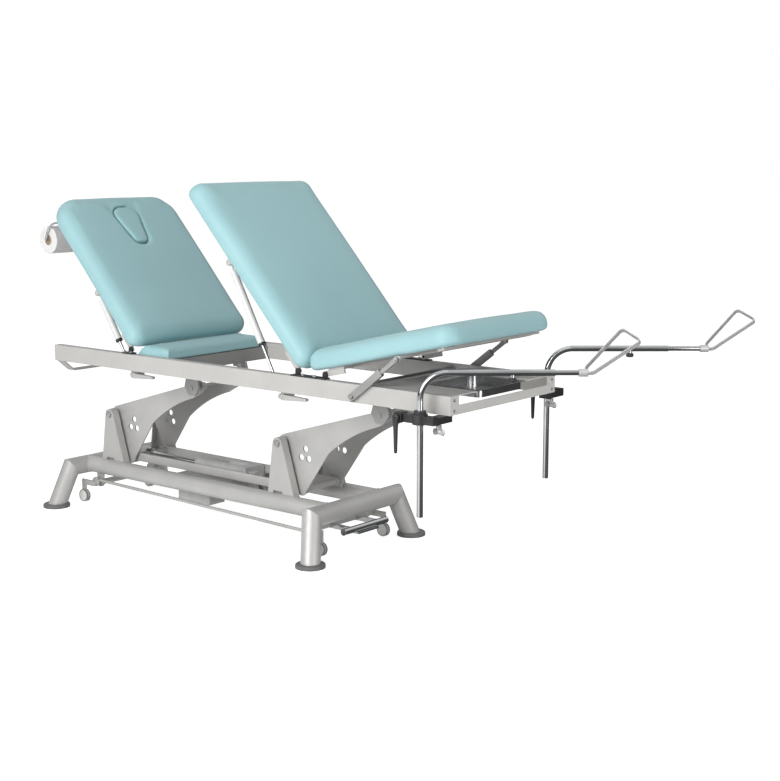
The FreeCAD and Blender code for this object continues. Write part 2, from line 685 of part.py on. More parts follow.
def lift_bracket(x):
    """Front bracket under a cross member, with the stub pin that the arm turns on."""
    half = BRACKET_WIDTH / 2
    top = BEAM_WIDTH / 2
    low = LIFT_Z - BRACKET_DROP
    points = ((x - top, RAIL_Z), (x + top, RAIL_Z), (x + half, LIFT_Z + 5), (x + half * 0.45, low),
              (x - half * 0.45, low), (x - half, LIFT_Z + 5))
    face = plate(points, (-BRACKET_FACE_Y, -BRACKET_FACE_Y + BRACKET_PLATE))
    block = box((x - top, x + top), (-BRACKET_FACE_Y, -ARM_OUTER_Y - 3), (RAIL_Z - 14, RAIL_Z))
    pin = across(x, LIFT_Z, (-BRACKET_FACE_Y - 3, -ARM_OUTER_Y + ARM_PLATE + ARM_BUSH_LEN), PIVOT_PIN_DIA)
    return face.multiFuse([block, pin])


def cross_member(x, offset):
    """Box beam between the rails with a lift bracket under each side."""
    mid = x + offset
    outer = box((mid - BEAM_WIDTH / 2, mid + BEAM_WIDTH / 2), (-RAIL_IN, RAIL_IN), (RAIL_Z, RAIL_Z + BEAM_HEIGHT))
    wall = BEAM_PLATE
    inner = box((mid - BEAM_WIDTH / 2 + wall, mid + BEAM_WIDTH / 2 - wall), (-RAIL_IN - 1, RAIL_IN + 1),
                (RAIL_Z + wall, RAIL_Z + BEAM_HEIGHT - wall))
    bracket = lift_bracket(x)
    return fused([outer.cut(inner), bracket, mirror_y(bracket)])


def end_panel():
    """End plate with a low middle, welded to a deck plate with the bowl's opening and runners."""
    x0 = END_X - END_PLATE
    panel = box((x0, END_X), (-RAIL_Y, RAIL_Y), (RAIL_Z, RAIL_TOP))
    open_y = RAIL_Y - END_POST
    panel = panel.cut(box((x0 - 1, END_X + 1), (-open_y, open_y), (RAIL_Z + END_APRON, RAIL_TOP + 1)))
    deck = box((DECK_X, x0), (-RAIL_IN, RAIL_IN), (RAIL_TOP - DECK_PLATE, RAIL_TOP))
    deck = deck.cut(box((DECK_OPENING_X, END_X), (-DECK_OPENING_Y, DECK_OPENING_Y), (RAIL_Z, RAIL_TOP + 1)))
    low = RAIL_TOP - BOWL_DROP - BOWL_WALL - SEAT_GAP - RUNNER[1]
    span = (DECK_OPENING_X, x0 - 6)
    ledge = box(span, (-DECK_OPENING_Y - RUNNER[1], -DECK_OPENING_Y + RUNNER[0]), (low, low + RUNNER[1]))
    upright = box(span, (-DECK_OPENING_Y - RUNNER[1], -DECK_OPENING_Y), (low, RAIL_TOP - DECK_PLATE))
    runner = ledge.fuse(upright)
    return fused([panel, deck, runner, mirror_y(runner)])


def hanger_bar():
    """Bent strip under the rails at the head end."""
    outer = RAIL_Y - 7
    t = HANGER[1]
    low = RAIL_Z - HANGER_DROP
    points = [(-outer, RAIL_Z), (-outer + HANGER_IN, low - t / 2), (outer - HANGER_IN, low - t / 2), (outer, RAIL_Z),
              (outer - 2 * t, RAIL_Z), (outer - HANGER_IN - t / 2, low + t / 2),
              (-outer + HANGER_IN + t / 2, low + t / 2), (-outer + 2 * t, RAIL_Z)]
    at = [Vector(RAIL_HEAD_X, p[0], p[1]) for p in points]
    return Part.Face(Part.makePolygon(at + [at[0]])).extrude(Vector(HANGER[0], 0, 0))


def bowl():
    """Shallow pressed tray with a rim that rides on the runners."""
    top = RAIL_TOP - BOWL_DROP
    body = box(BOWL_X, (-BOWL_Y, BOWL_Y), (top - BOWL_DEPTH, top))
    hollow = box((BOWL_X[0] + BOWL_WALL, BOWL_X[1] - BOWL_WALL), (-BOWL_Y + BOWL_WALL, BOWL_Y - BOWL_WALL),
                 (top - BOWL_DEPTH + BOWL_WALL, top + 1))
    corner = BOWL_DEPTH * 0.9
    body = body.makeFillet(corner, [e for e in body.Edges if abs(e.BoundBox.ZLength - BOWL_DEPTH) < 0.01])
    tall = [e for e in hollow.Edges if e.BoundBox.ZLength > BOWL_DEPTH - BOWL_WALL]
    hollow = hollow.makeFillet(corner - BOWL_WALL, tall)
    rim = box((BOWL_X[0] - BOWL_RIM * 0.5, BOWL_X[1]), (-BOWL_Y - BOWL_RIM, BOWL_Y + BOWL_RIM), (top - BOWL_WALL, top))
    return body.fuse(rim).cut(hollow).removeSplitter()


parts["rails"] = both_sides(rail())
parts["cross_members"] = Part.makeCompound([cross_member(TOWER_HEAD_X + ARM_REACH, HEAD_BEAM_OFFSET),
                                            cross_member(TOWER_FOOT_X + ARM_REACH, 0.0)])
parts["end_panel"] = end_panel()
parts["hanger_bar"] = hanger_bar()
parts["bowl"] = bowl()


# Hinge plates on the rails: lugs with fixed pins for the sections' ears

EAR_Y = (-EAR_FACE, -EAR_FACE + EAR)
LUG_Y = (EAR_Y[0] - SEAT_GAP - LUG, EAR_Y[0] - SEAT_GAP)


def hinge_lug(x):
    r = HINGE_PIN_DIA
    base = RAIL_TOP + HINGE_PLATE / 2
    points = ((x - r, base), (x - r, HINGE_Z), (x, HINGE_Z + r, True), (x + r, HINGE_Z), (x + r, base))
    return plate(points, LUG_Y).fuse(across(x, HINGE_Z, (LUG_Y[0], EAR_Y[1]), HINGE_PIN_DIA))


def hinge_plate(x, hinges):
    strip = box(x, (-RAIL_Y + 2, -RAIL_IN), (RAIL_TOP, RAIL_TOP + HINGE_PLATE))
    return fused([strip] + [hinge_lug(h) for h in hinges])


main_plate = hinge_plate((BACK_HINGE_X - 14, FOOT_HINGE_X + 16), (BACK_HINGE_X, FOOT_HINGE_X))
head_plate = hinge_plate((HEAD_HINGE_X - 24, HEAD_HINGE_X + 24), (HEAD_HINGE_X,))
parts["hinge_plates"] = Part.makeCompound([main_plate, head_plate, mirror_y(main_plate), mirror_y(head_plate)])


# Section frames under the boards: two side tubes, flat cross bars, ears at the hinge

BAR_FLAT = FRAME_TUBE * 0.32


def ear(hinge, towards, end):
    """Plate from the first cross bar down to the hinge pin; towards is -1 or 1 along X."""
    r = HINGE_PIN_DIA * 0.9
    far = hinge.x + towards * end
    knee = hinge.x + towards * FRAME_TUBE
    low = HINGE_Z - r
    points = ((hinge.x, low), (hinge.x - towards * r, HINGE_Z, True), (hinge.x, HINGE_Z + r),
              (knee, BOARD_Z), (far, BOARD_Z), (far, low))
    return plate(points, EAR_Y)


def section_frame(hinge, towards, reach, bars, depth, half=EAR_FACE):
    """Flat frame under a board; distances are measured from the hinge line, away from it."""
    x = sorted((hinge.x + towards * FRAME_TUBE, hinge.x + towards * reach))
    tube = square_tube(x, (-FRAME_Y, -FRAME_Y + FRAME_TUBE), (BOARD_Z - depth, BOARD_Z), "x")
    plate_ear = ear(hinge, towards, bars[0] + FRAME_TUBE / 2)
    pieces = [tube, mirror_y(tube), plate_ear, mirror_y(plate_ear)]
    for s in bars:
        mid = hinge.x + towards * s
        bar_x = (mid - FRAME_TUBE / 2, mid + FRAME_TUBE / 2)
        pieces.append(box(bar_x, (-half, half), (BOARD_Z - BAR_FLAT, BOARD_Z)))
    frame = fused(pieces)
    return frame.cut(across(hinge.x, HINGE_Z, (-EAR_FACE, EAR_FACE), HINGE_PIN_DIA + 2 * RUN_FIT))


# Cushions: boards with crowned tops, rounded edges and rounded plan corners

def cushion_station(x, length, corner_near, corner_far):
    """Half width and height of the cushion at a distance from its hinge end."""
    half = CUSHION_WIDTH / 2
    depth = CUSHION_THICK
    for distance, corner in ((x, corner_near), (length - x, corner_far)):
        if distance < corner:
            half = half - corner + math.sqrt(corner ** 2 - (corner - distance) ** 2)
        if distance < CUSHION_EDGE:
            fall = CUSHION_EDGE - math.sqrt(CUSHION_EDGE ** 2 - (CUSHION_EDGE - distance) ** 2)
            depth = depth - fall
    return half, depth


def cushion_section(x, half, depth, crown):
    """Cross outline: flat base, sides drawn in at the foot, rounded shoulders, crowned top."""
    r = min(CUSHION_EDGE, depth * 0.5)
    tuck = 4.0
    rise = depth * 0.25
    cut = r * 0.2929
    points = ((-half + tuck, 0), (half - tuck, 0), (half, rise), (half, depth - r),
              (half - cut, depth - cut, True), (half - r, depth), (0, depth + crown, True), (-half + r, depth),
              (-half + cut, depth - cut, True), (-half, depth - r), (-half, rise))
    wire = outline(points)
    wire.rotate(ORIGIN, Z_AXIS, 90)
    wire.translate(Vector(x, 0, 0))
    return wire


def cushion_form(length, corner_near, corner_far):
    """Cushion from its hinge end at X = 0, base at Z = 0."""
    steps = [CUSHION_EDGE * (1 - math.cos(math.radians(a))) for a in (0, 25, 50, 72, 90)]
    near = list(steps)
    far = list(steps)
    for corner, ends in ((corner_near, near), (corner_far, far)):
        if corner > CUSHION_EDGE:
            ends += [CUSHION_EDGE + (corner - CUSHION_EDGE) * f for f in (0.3, 0.6, 1.0)]
    stations = near + [length * 0.5] + [length - d for d in reversed(far)]
    wires = []
    for x in stations:
        half, depth = cushion_station(x, length, corner_near, corner_far)
        edge = min(x, length - x) / (length * 0.5)
        crown = 0.6 + CUSHION_CROWN * math.sqrt(edge)
        wires.append(cushion_section(x, half, depth, crown))
    return Part.makeLoft(wires, True, True)


def towards_head(shape, x):
    """Turn a cushion so that it runs towards the head end from a given X."""
    return moved(rotated(shape, ORIGIN, Z_AXIS, 180), x, 0, BOARD_Z)


def teardrop(inset, z):
    """Upright block of the face opening, wide towards the head end, shrunk by an inset."""
    near = HEAD_LENGTH - PLUG_FROM_TOP[1] + inset
    far = HEAD_LENGTH - PLUG_FROM_TOP[0] - inset
    slim = PLUG_HALF[1] - inset
    wide = PLUG_HALF[0] - inset
    at = [Vector(near, -slim, z[0]), Vector(far, -wide, z[0]), Vector(far, wide, z[0]), Vector(near, slim, z[0])]
    block = Part.Face(Part.makePolygon(at + [at[0]])).extrude(Vector(0, 0, z[1] - z[0]))
    upright = [e for e in block.Edges if e.BoundBox.ZLength > 1]
    blunt = [e for e in upright if e.BoundBox.XMin > (near + far) / 2]
    block = block.makeFillet(PLUG_CORNER[0] - inset, blunt)
    narrow = [e for e in block.Edges if e.BoundBox.ZLength > 1 and e.BoundBox.XMax < near + 1]
    return block.makeFillet(PLUG_CORNER[1] - inset, narrow)


def head_cushion():
    """Head cushion with a stepped face opening."""
    form = cushion_form(HEAD_LENGTH, PLAIN_CORNER, HEAD_CORNER)
    return form.cut(teardrop(0, (PLUG_FLOOR, 2 * CUSHION_THICK))).cut(teardrop(12, (-1, 2 * CUSHION_THICK)))


def face_plug():
    """Lift-out plug that sits on the step of the face opening."""
    crown = CUSHION_THICK + CUSHION_CROWN
    plug = teardrop(PLUG_CLEAR, (PLUG_FLOOR + SEAT_GAP, crown))
    rim = [e for e in plug.Edges if e.BoundBox.ZMin > crown - 0.01]
    return plug.makeFillet(5, rim)


def filler_cushion():
    """Small fixed cushion between the rails."""
    low = RAIL_Z + BEAM_HEIGHT + SEAT_GAP
    y = (-FILLER_HALF, FILLER_HALF)
    body = box(FILLER_X, y, (low, low + FILLER_THICK))
    rim = [e for e in body.Edges if e.BoundBox.ZMin > low + FILLER_THICK - 0.01]
    return body.makeFillet(FILLER_THICK * 0.4, rim)


def raised(shape, hinge, degrees):
    return rotated(shape, hinge, Y_AXIS, degrees)


def spring_lugs(x, z):
    """Two plates under a cross bar that stand either side of a gas spring's upper eye."""
    lugs = []
    for sign in (-1, 1):
        y0 = SPRING_Y + sign * (SPRING_EYE / 2 + 1.5)
        y = sorted((y0, y0 + sign * 4))
        points = ((x - 11, BOARD_Z - BAR_FLAT), (x - 11, z), (x, z - 11, True), (x + 11, z), (x + 11, BOARD_Z - BAR_FLAT))
        lugs.append(plate(points, y))
    return lugs


def flat_point(point, hinge, degrees):
    """Where a point on a raised section lies when the section is flat."""
    turn = FreeCAD.Rotation(Y_AXIS, -degrees)
    return hinge + turn.multVec(Vector(point[0], 0, point[1]) - hinge)


back_eye = flat_point(BACK_SPRING_TOP, BACK_HINGE, TILT)
head_eye = flat_point(HEAD_SPRING_TOP, HEAD_HINGE, TILT)
back_bar = BACK_HINGE_X - back_eye.x
head_bar = HEAD_HINGE_X - head_eye.x
back_reach = BACK_HINGE_X - FILLER_X[1] - 8
head_reach = HEAD_LENGTH - HEAD_CORNER * 0.5
back_bars = (70, 240, back_bar, back_reach - FRAME_TUBE / 2)
head_bars = (60, head_bar, head_reach - FRAME_TUBE / 2)
back_frame = section_frame(BACK_HINGE, -1, back_reach, back_bars, FRAME_TUBE)
back_frame = fused([back_frame] + spring_lugs(back_eye.x, back_eye.z))
head_half = max(EAR_FACE, HOLDER_Y + HOLDER_WIRE / 2)
head_frame = section_frame(HEAD_HINGE, -1, head_reach, head_bars, FRAME_TUBE, head_half)
head_frame = fused([head_frame] + spring_lugs(head_eye.x, head_eye.z))
strut_eye = flat_point(STRUT_TOP, FOOT_HINGE, -FOOT_TILT)
strut_bar = strut_eye.x - FOOT_HINGE_X
foot_reach = FOOT_LENGTH - 88
foot_bars = (70, strut_bar, foot_reach - FRAME_TUBE / 2)
foot_frame = section_frame(FOOT_HINGE, 1, foot_reach, foot_bars, FOOT_FRAME_DEPTH)


def strut_lug():
    """Angle on the end of a cross bar with the stud that the strut's rod hangs on."""
    x, z = strut_eye.x, strut_eye.z
    half = STRUT_PIN_DIA
    face = (-RAIL_Y + 1, -RAIL_Y + 1 + EAR)
    points = ((x - FRAME_TUBE / 2, BOARD_Z), (x - half, z), (x, z - half, True), (x + half, z), (x + FRAME_TUBE / 2, BOARD_Z))
    flange = box((x - FRAME_TUBE / 2, x + FRAME_TUBE / 2), (face[0], -EAR_FACE + 1), (BOARD_Z - BAR_FLAT, BOARD_Z))
    bar_face = -RAIL_Y - STRUT_GAP - (STRUT_DEPTH - STRUT_BAR[1]) / 2
    stud = across(x, z, (bar_face + SEAT_GAP, face[1]), STRUT_PIN_DIA)
    return fused([plate(points, face), flange, stud])


foot_frame = fused([foot_frame, strut_lug(), mirror_y(strut_lug())])

parts["back_frame"] = raised(back_frame, BACK_HINGE, TILT)
parts["head_frame"] = raised(head_frame, HEAD_HINGE, TILT)
parts["foot_frame"] = raised(foot_frame, FOOT_HINGE, -FOOT_TILT)
back_form = cushion_form(BACK_LENGTH, PLAIN_CORNER, PLAIN_CORNER)
parts["back_cushion"] = raised(towards_head(back_form, BACK_END_X), BACK_HINGE, TILT)
parts["head_cushion"] = raised(towards_head(head_cushion(), HEAD_END_X), HEAD_HINGE, TILT)
parts["face_plug"] = raised(towards_head(face_plug(), HEAD_END_X), HEAD_HINGE, TILT)
foot_form = moved(cushion_form(FOOT_LENGTH, PLAIN_CORNER, FOOT_CORNER), FOOT_END_X, 0, BOARD_Z)
parts["foot_cushion"] = raised(foot_form, FOOT_HINGE, -FOOT_TILT)
parts["filler_cushion"] = filler_cushion()


# Paper roll in a wire holder behind the head section

def holder_point(s, p):
    return Vector(HEAD_END_X - s, 0, BOARD_Z - p)


ROLL_AT = holder_point(ROLL_S, ROLL_P)


def roll_holder():
    """Two bent wires from the head frame's top bar, joined by the axle."""
    start = holder_point(head_reach - FRAME_TUBE, BAR_FLAT - HOLDER_WIRE)
    middle = holder_point(ROLL_S + ROLL_DIA * 0.2, ROLL_P * 0.5)
    arc = Part.Arc(start, middle, ROLL_AT).toShape()
    sweep = math.degrees(arc.LastParameter - arc.FirstParameter)
    tangent = arc.tangentAt(arc.FirstParameter)
    ring = Part.Face(Part.Wire(Part.Circle(start, tangent, HOLDER_WIRE / 2).toShape()))
    wire = ring.revolve(arc.Curve.Center, arc.Curve.Axis, sweep)
    bar_x = (HEAD_END_X - HEAD_LENGTH, HEAD_END_X)
    bar_z = (BOARD_Z - BAR_FLAT - SEAT_GAP, BOARD_Z + HEAD_LENGTH)
    wire = wire.cut(box(bar_x, (-HOLDER_WIRE, HOLDER_WIRE), bar_z))
    near = moved(wire, 0, -HOLDER_Y, 0)
    axle = across(ROLL_AT.x, ROLL_AT.z, (-HOLDER_Y - HOLDER_WIRE / 2, HOLDER_Y + HOLDER_WIRE / 2), AXLE_DIA)
    return axle.multiFuse([near, mirror_y(near)])


def paper_roll():
    tube = across(ROLL_AT.x, ROLL_AT.z, (-ROLL_HALF, ROLL_HALF), ROLL_DIA)
    for sign in (-1, 1):
        face = sorted((sign * ROLL_HALF, sign * (ROLL_HALF - 6)))
        recess = across(ROLL_AT.x, ROLL_AT.z, face, ROLL_CORE_DIA)
        tube = tube.cut(recess)
    return tube.cut(across(ROLL_AT.x, ROLL_AT.z, (-ROLL_HALF - 1, ROLL_HALF + 1), AXLE_DIA + 2 * RUN_FIT))


parts["roll_holder"] = raised(roll_holder(), HEAD_HINGE, TILT)
parts["paper_roll"] = raised(paper_roll(), HEAD_HINGE, TILT)


# Gas springs with their lower brackets and release levers

def spring_rod(low, top, length):
    foot = Vector(low[0], SPRING_Y, low[1])
    along = (Vector(top[0], SPRING_Y, top[1]) - foot).normalize()
    y = (SPRING_Y - SPRING_EYE / 2, SPRING_Y + SPRING_EYE / 2)
    eye = across(low[0], low[1], y, SPRING_EYE_DIA)
    bar = rod(foot, foot + along * length, SPRING_ROD_DIA)
    return eye.fuse(bar).cut(across(low[0], low[1], (y[0] - 1, y[1] + 1), SPRING_PIN_DIA + 2 * RUN_FIT))


def spring_tube(low, top, length):
    """Cylinder with a neck and an eye at its upper end."""
    head = Vector(top[0], SPRING_Y, top[1])
    along = (head - Vector(low[0], SPRING_Y, low[1])).normalize()
    y = (SPRING_Y - SPRING_EYE / 2, SPRING_Y + SPRING_EYE / 2)
    mouth = head - along * length
    shoulder = head - along * 32
    tube = rod(mouth, shoulder, SPRING_DIA)
    tube = tube.cut(rod(mouth - along, shoulder - along * 10, SPRING_ROD_DIA + 2 * SLIDE_FIT))
    eye = across(top[0], top[1], y, SPRING_EYE_DIA)
    neck = rod(shoulder - along, head, SPRING_EYE * 0.9)
    eye = eye.fuse(neck).cut(across(top[0], top[1], (y[0] - 1, y[1] + 1), SPRING_PIN_DIA))
    return tube.fuse(eye)


def lever_pivot(low):
    return low[0] + 32, low[1] + 3


def spring_bracket(low):
    """Clevis on the rail's inner face with the spring's pin and the release lever's pin."""
    x, z = low
    pieces = [box((x + 16, x + 46), (-RAIL_IN, SPRING_Y + 11), (z - 8, RAIL_Z + 22))]
    for sign in (-1, 1):
        y0 = SPRING_Y + sign * (SPRING_EYE / 2 + 1)
        points = ((x + 20, z - 8), (x, z - 10), (x - 10, z, True), (x, z + 10), (x + 20, z + 24))
        pieces.append(plate(points, sorted((y0, y0 + sign * 5))))
    pieces.append(across(x, z, (SPRING_Y - 10, SPRING_Y + 10), SPRING_PIN_DIA))
    px, pz = lever_pivot(low)
    pieces.append(across(px, pz, (LEVER_Y - 14, -RAIL_IN + 1), SPRING_PIN_DIA))
    return fused(pieces)


def release_lever(low):
    """Flat handle towards the foot end, turning on the bracket's pin."""
    px, pz = lever_pivot(low)
    end = px + LEVER_LENGTH - 10
    points = ((px, pz - 10), (end, pz - 4), (end + 5, pz + 1, True), (end, pz + 6), (px, pz + 10), (px - 10, pz, True))
    y = (LEVER_Y - 13, LEVER_Y + 1.5)
    return plate(points, y).cut(across(px, pz, (y[0] - 1, y[1] + 1), SPRING_PIN_DIA + 2 * RUN_FIT))


SPRINGS = (("back", BACK_SPRING_LOW, BACK_SPRING_TOP, BACK_SPRING_TUBE, BACK_SPRING_ROD),
           ("head", HEAD_SPRING_LOW, HEAD_SPRING_TOP, HEAD_SPRING_TUBE, HEAD_SPRING_ROD))
for name, low, top, tube_len, rod_len in SPRINGS:
    parts[name + "_spring_rod"] = spring_rod(low, top, rod_len)
    parts[name + "_spring_tube"] = spring_tube(low, top, tube_len)
    parts[name + "_release_lever"] = release_lever(low)
parts["spring_brackets"] = Part.makeCompound([spring_bracket(BACK_SPRING_LOW), spring_bracket(HEAD_SPRING_LOW)])


# Ratchet struts outside the rails

STRUT_Y = -RAIL_Y - STRUT_GAP - STRUT_DEPTH / 2
STRUT_FOOT = Vector(STRUT_LOW[0], STRUT_Y, STRUT_LOW[1])
STRUT_RISE = Vector(STRUT_TOP[0] - STRUT_LOW[0], 0, STRUT_TOP[1] - STRUT_LOW[1])
STRUT_ANGLE = math.degrees(math.atan2(STRUT_RISE.z, STRUT_RISE.x))


def strut_channel():
    """Box channel that the strut's rod slides in, with a bored foot."""
    half = STRUT_WIDTH / 2
    y = (-STRUT_DEPTH / 2, STRUT_DEPTH / 2)
    outer = box((-half, STRUT_CHANNEL), y, (-half, half))
    inner = box((-half + STRUT_WALL, STRUT_CHANNEL + 1), (y[0] + STRUT_WALL, y[1] - STRUT_WALL),
                (-half + STRUT_WALL, half - STRUT_WALL))
    body = outer.cut(inner).cut(across(0, 0, (y[0] - 1, y[1] + 1), STRUT_PIN_DIA + 2 * RUN_FIT))
    return rotated(body, ORIGIN, Y_AXIS, -STRUT_ANGLE)


def strut_rod():
    """Flat ratchet bar, toothed along its upper edge, with a round tab at its top."""
    length = STRUT_RISE.Length
    half = STRUT_BAR[0] / 2
    pitch, depth = TOOTH
    count = int((length - STRUT_BAR_IN - STRUT_WIDTH) // pitch)
    points = [(length, -half), (STRUT_BAR_IN, -half), (STRUT_BAR_IN, half)]
    for i in range(count):
        x = STRUT_BAR_IN + (i + 0.6) * pitch
        points += [(x, half), (x, half - depth), (x + pitch * 0.9, half)]
    points.append((length, half))
    bar = plate(points, (-STRUT_BAR[1] / 2, STRUT_BAR[1] / 2))
    tab = across(length, 0, (-STRUT_BAR[1] / 2, STRUT_BAR[1] / 2), STRUT_WIDTH * 0.8)
    return rotated(bar.fuse(tab), ORIGIN, Y_AXIS, -STRUT_ANGLE)


parts["strut_channels"] = both_sides(moved(strut_channel(), STRUT_FOOT.x, STRUT_FOOT.y, STRUT_FOOT.z))
parts["strut_rods"] = both_sides(moved(strut_rod(), STRUT_FOOT.x, STRUT_FOOT.y, STRUT_FOOT.z))


# Leg supports: clamps on the rails, bent posts, sliding rods with stirrups

TURN = math.radians(BAR_TURN)
BAR_DIR = Vector(math.cos(TURN), math.sin(TURN), 0)
BAR_SIDE = Vector(-math.sin(TURN), math.cos(TURN), 0)


def leg_clamp():
    """Near clamp: boss bored for the post's bush, bar with the lever's hub, arm under the rail."""
    top = CLAMP_Z[1] - 4
    low = CLAMP_Z[0] + 2
    boss = rod(Vector(POST_X, -POST_Y, CLAMP_Z[0]), Vector(POST_X, -POST_Y, CLAMP_Z[1]), CLAMP_BOSS_DIA)
    ends = (min(CLAMP_X[0] + 2, POST_X), max(CLAMP_ARM_X[1], POST_X))
    bar = box(ends, (-POST_Y - CLAMP_BAR / 2, -POST_Y + CLAMP_BAR / 2), (low, top))
    hub = box((CLAMP_X[0], CLAMP_X[0] + CLAMP_HUB), (-CLAMP_Y[1], -POST_Y + CLAMP_BAR / 2), CLAMP_Z)
    hub = hub.makeFillet(6, [e for e in hub.Edges if e.BoundBox.YLength > CLAMP_BAR])
    arm = box(CLAMP_ARM_X, (-POST_Y, -RAIL_Y + CLAMP_UNDER), (low, RAIL_Z - SEAT_GAP))
    lever_z = (CLAMP_Z[0] + CLAMP_Z[1]) / 2
    stud = across(CLAMP_LEVER_X, lever_z, (-CLAMP_Y[1] - 14, -CLAMP_Y[1] + 1), SPRING_PIN_DIA)
    clamp = fused([boss, bar, hub, arm, stud])
    clamp = clamp.cut(rod(Vector(POST_X, -POST_Y, CLAMP_Z[0] - 1), Vector(POST_X, -POST_Y, CLAMP_Z[1] + 1),
                          BUSH_DIA + 2 * RUN_FIT))
    screw_top = Vector(SCREW_X, -SCREW_Y, CLAMP_Z[0] + 20 + SEAT_GAP)
    return clamp.cut(rod(Vector(SCREW_X, -SCREW_Y, CLAMP_Z[0]), screw_top, 10 + 2 * RUN_FIT))


def clamp_bush():
    """Turning bush with a flange on top of the clamp."""
    at = Vector(POST_X, -POST_Y, 0)
    body = rod(at + Z_AXIS * CLAMP_Z[0], at + Z_AXIS * (CLAMP_Z[1] + BUSH_RISE), BUSH_DIA)
    flange = rod(at + Z_AXIS * (CLAMP_Z[1] + SEAT_GAP), at + Z_AXIS * (CLAMP_Z[1] + BUSH_RISE), BUSH_DIA + 8)
    bore = rod(at, at + Z_AXIS * 1000, POST_DIA + 2 * SLIDE_FIT)
    return body.fuse(flange).cut(bore)


def clamp_lever():
    """Black handle hanging from the clamp's stud."""
    z = (CLAMP_Z[0] + CLAMP_Z[1]) / 2
    x = CLAMP_LEVER_X
    y = (-CLAMP_Y[1] - 12, -CLAMP_Y[1] - SEAT_GAP)
    low = z - CLAMP_LEVER
    points = ((x + 12, z), (x, z + 12, True), (x - 12, z), (x - 8, low + 8), (x, low, True), (x + 8, low + 8))
    return plate(points, y).cut(across(x, z, (y[0] - 1, y[1] + 1), SPRING_PIN_DIA + 2 * RUN_FIT))


def wing_screw():
    """Screw under the clamp's arm with a flat wing."""
    at = Vector(SCREW_X, -SCREW_Y, CLAMP_Z[0])
    stem = rod(at - Z_AXIS * 26, at + Z_AXIS * 20, 10)
    collar = rod(at - Z_AXIS * 16, at - Z_AXIS * 4, 18)
    wing = box((SCREW_X - 22, SCREW_X + 22), (-SCREW_Y - 3, -SCREW_Y + 3), (at.z - 36, at.z - 14))
    return fused([stem, collar, wing])


def bent_bar(dia, low, hand):
    """Upright, quarter bend and level bar as one solid of the given diameter."""
    foot = Vector(POST_X, hand * POST_Y, low)
    bend_start = Vector(POST_X, hand * POST_Y, BAR_Z - BEND_R)
    centre = bend_start + BAR_DIR * BEND_R
    level = Vector(POST_X, hand * POST_Y, BAR_Z)
    ring = Part.Face(Part.Wire(Part.Circle(bend_start, Z_AXIS, dia / 2).toShape()))
    bend = ring.revolve(centre, BAR_SIDE, 90)
    upright = rod(foot, bend_start, dia)
    bar = rod(level + BAR_DIR * BEND_R, level + BAR_DIR * BAR_LENGTH, dia)
    return upright.multiFuse([bend, bar])


def leg_post(hand):
    """Bent chrome tube with a threaded boss for the knob."""
    level = Vector(POST_X, hand * POST_Y, BAR_Z)
    boss_at = level + BAR_DIR * KNOB_AT
    boss = rod(boss_at - Z_AXIS * (POST_DIA / 2 + 5), boss_at, 16)
    outer = bent_bar(POST_DIA, POST_LOW_Z, hand).fuse(boss)
    tube = outer.cut(bent_bar(POST_DIA - 2 * POST_WALL, POST_LOW_Z - 1, hand))
    mouth = rod(level + BAR_DIR * (BAR_LENGTH - 1), level + BAR_DIR * (BAR_LENGTH + 1), POST_DIA - 2 * POST_WALL)
    tube = tube.cut(mouth)
    return tube.cut(rod(boss_at - Z_AXIS * 40, boss_at, 8 + 2 * RUN_FIT))


def bar_knob(hand):
    """Round clamping knob under the bar."""
    at = Vector(POST_X, hand * POST_Y, BAR_Z) + BAR_DIR * KNOB_AT
    top = POST_DIA / 2 + 5 + SEAT_GAP
    head = rod(at - Z_AXIS * (top + 14), at - Z_AXIS * top, KNOB_DIA)
    stem = rod(at - Z_AXIS * (top + 2), at - Z_AXIS * (ROD_DIA / 2 + 0.4), 8)
    return head.fuse(stem).removeSplitter()


def rod_end(hand, out):
    return Vector(POST_X, hand * POST_Y, BAR_Z) + BAR_DIR * (BAR_LENGTH + out)


def stirrup_rod(hand, out):
    level = Vector(POST_X, hand * POST_Y, BAR_Z)
    return rod(level + BAR_DIR * (BAR_LENGTH - ROD_IN), rod_end(hand, out), ROD_DIA)


LOOP_LONG = (BAR_DIR * 139 + Z_AXIS * 106 + BAR_SIDE * 50).normalize()
LOOP_ROUGH = BAR_DIR * 0.51 - Z_AXIS * 0.30 - BAR_SIDE * 0.78
LOOP_NORMAL = LOOP_LONG.cross(LOOP_ROUGH).normalize()
LOOP_WIDE = LOOP_NORMAL.cross(LOOP_LONG).normalize()


def loop_face(origin, inset):
    """Rounded trapezium of the stirrup's strip, narrow end at the rod."""
    nose = STIRRUP_NOSE / 2 - inset
    wide = STIRRUP_END / 2 - inset
    a0 = inset
    a1 = STIRRUP_LENGTH - inset
    r = 14 - inset
    def at(a, w):
        return origin + LOOP_LONG * a + LOOP_WIDE * w
    edges = [Part.Arc(at(a0 + nose, -nose), at(a0, 0), at(a0 + nose, nose)).toShape(),
             Part.LineSegment(at(a0 + nose, nose), at(a1 - r, wide)).toShape(),
             Part.Arc(at(a1 - r, wide), at(a1 - r * 0.2929, wide - r * 0.2929), at(a1, wide - r)).toShape(),
             Part.LineSegment(at(a1, wide - r), at(a1, -wide + r)).toShape(),
             Part.Arc(at(a1, -wide + r), at(a1 - r * 0.2929, -wide + r * 0.2929), at(a1 - r, -wide)).toShape(),
             Part.LineSegment(at(a1 - r, -wide), at(a0 + nose, -nose)).toShape()]
    return Part.Face(Part.Wire(edges))


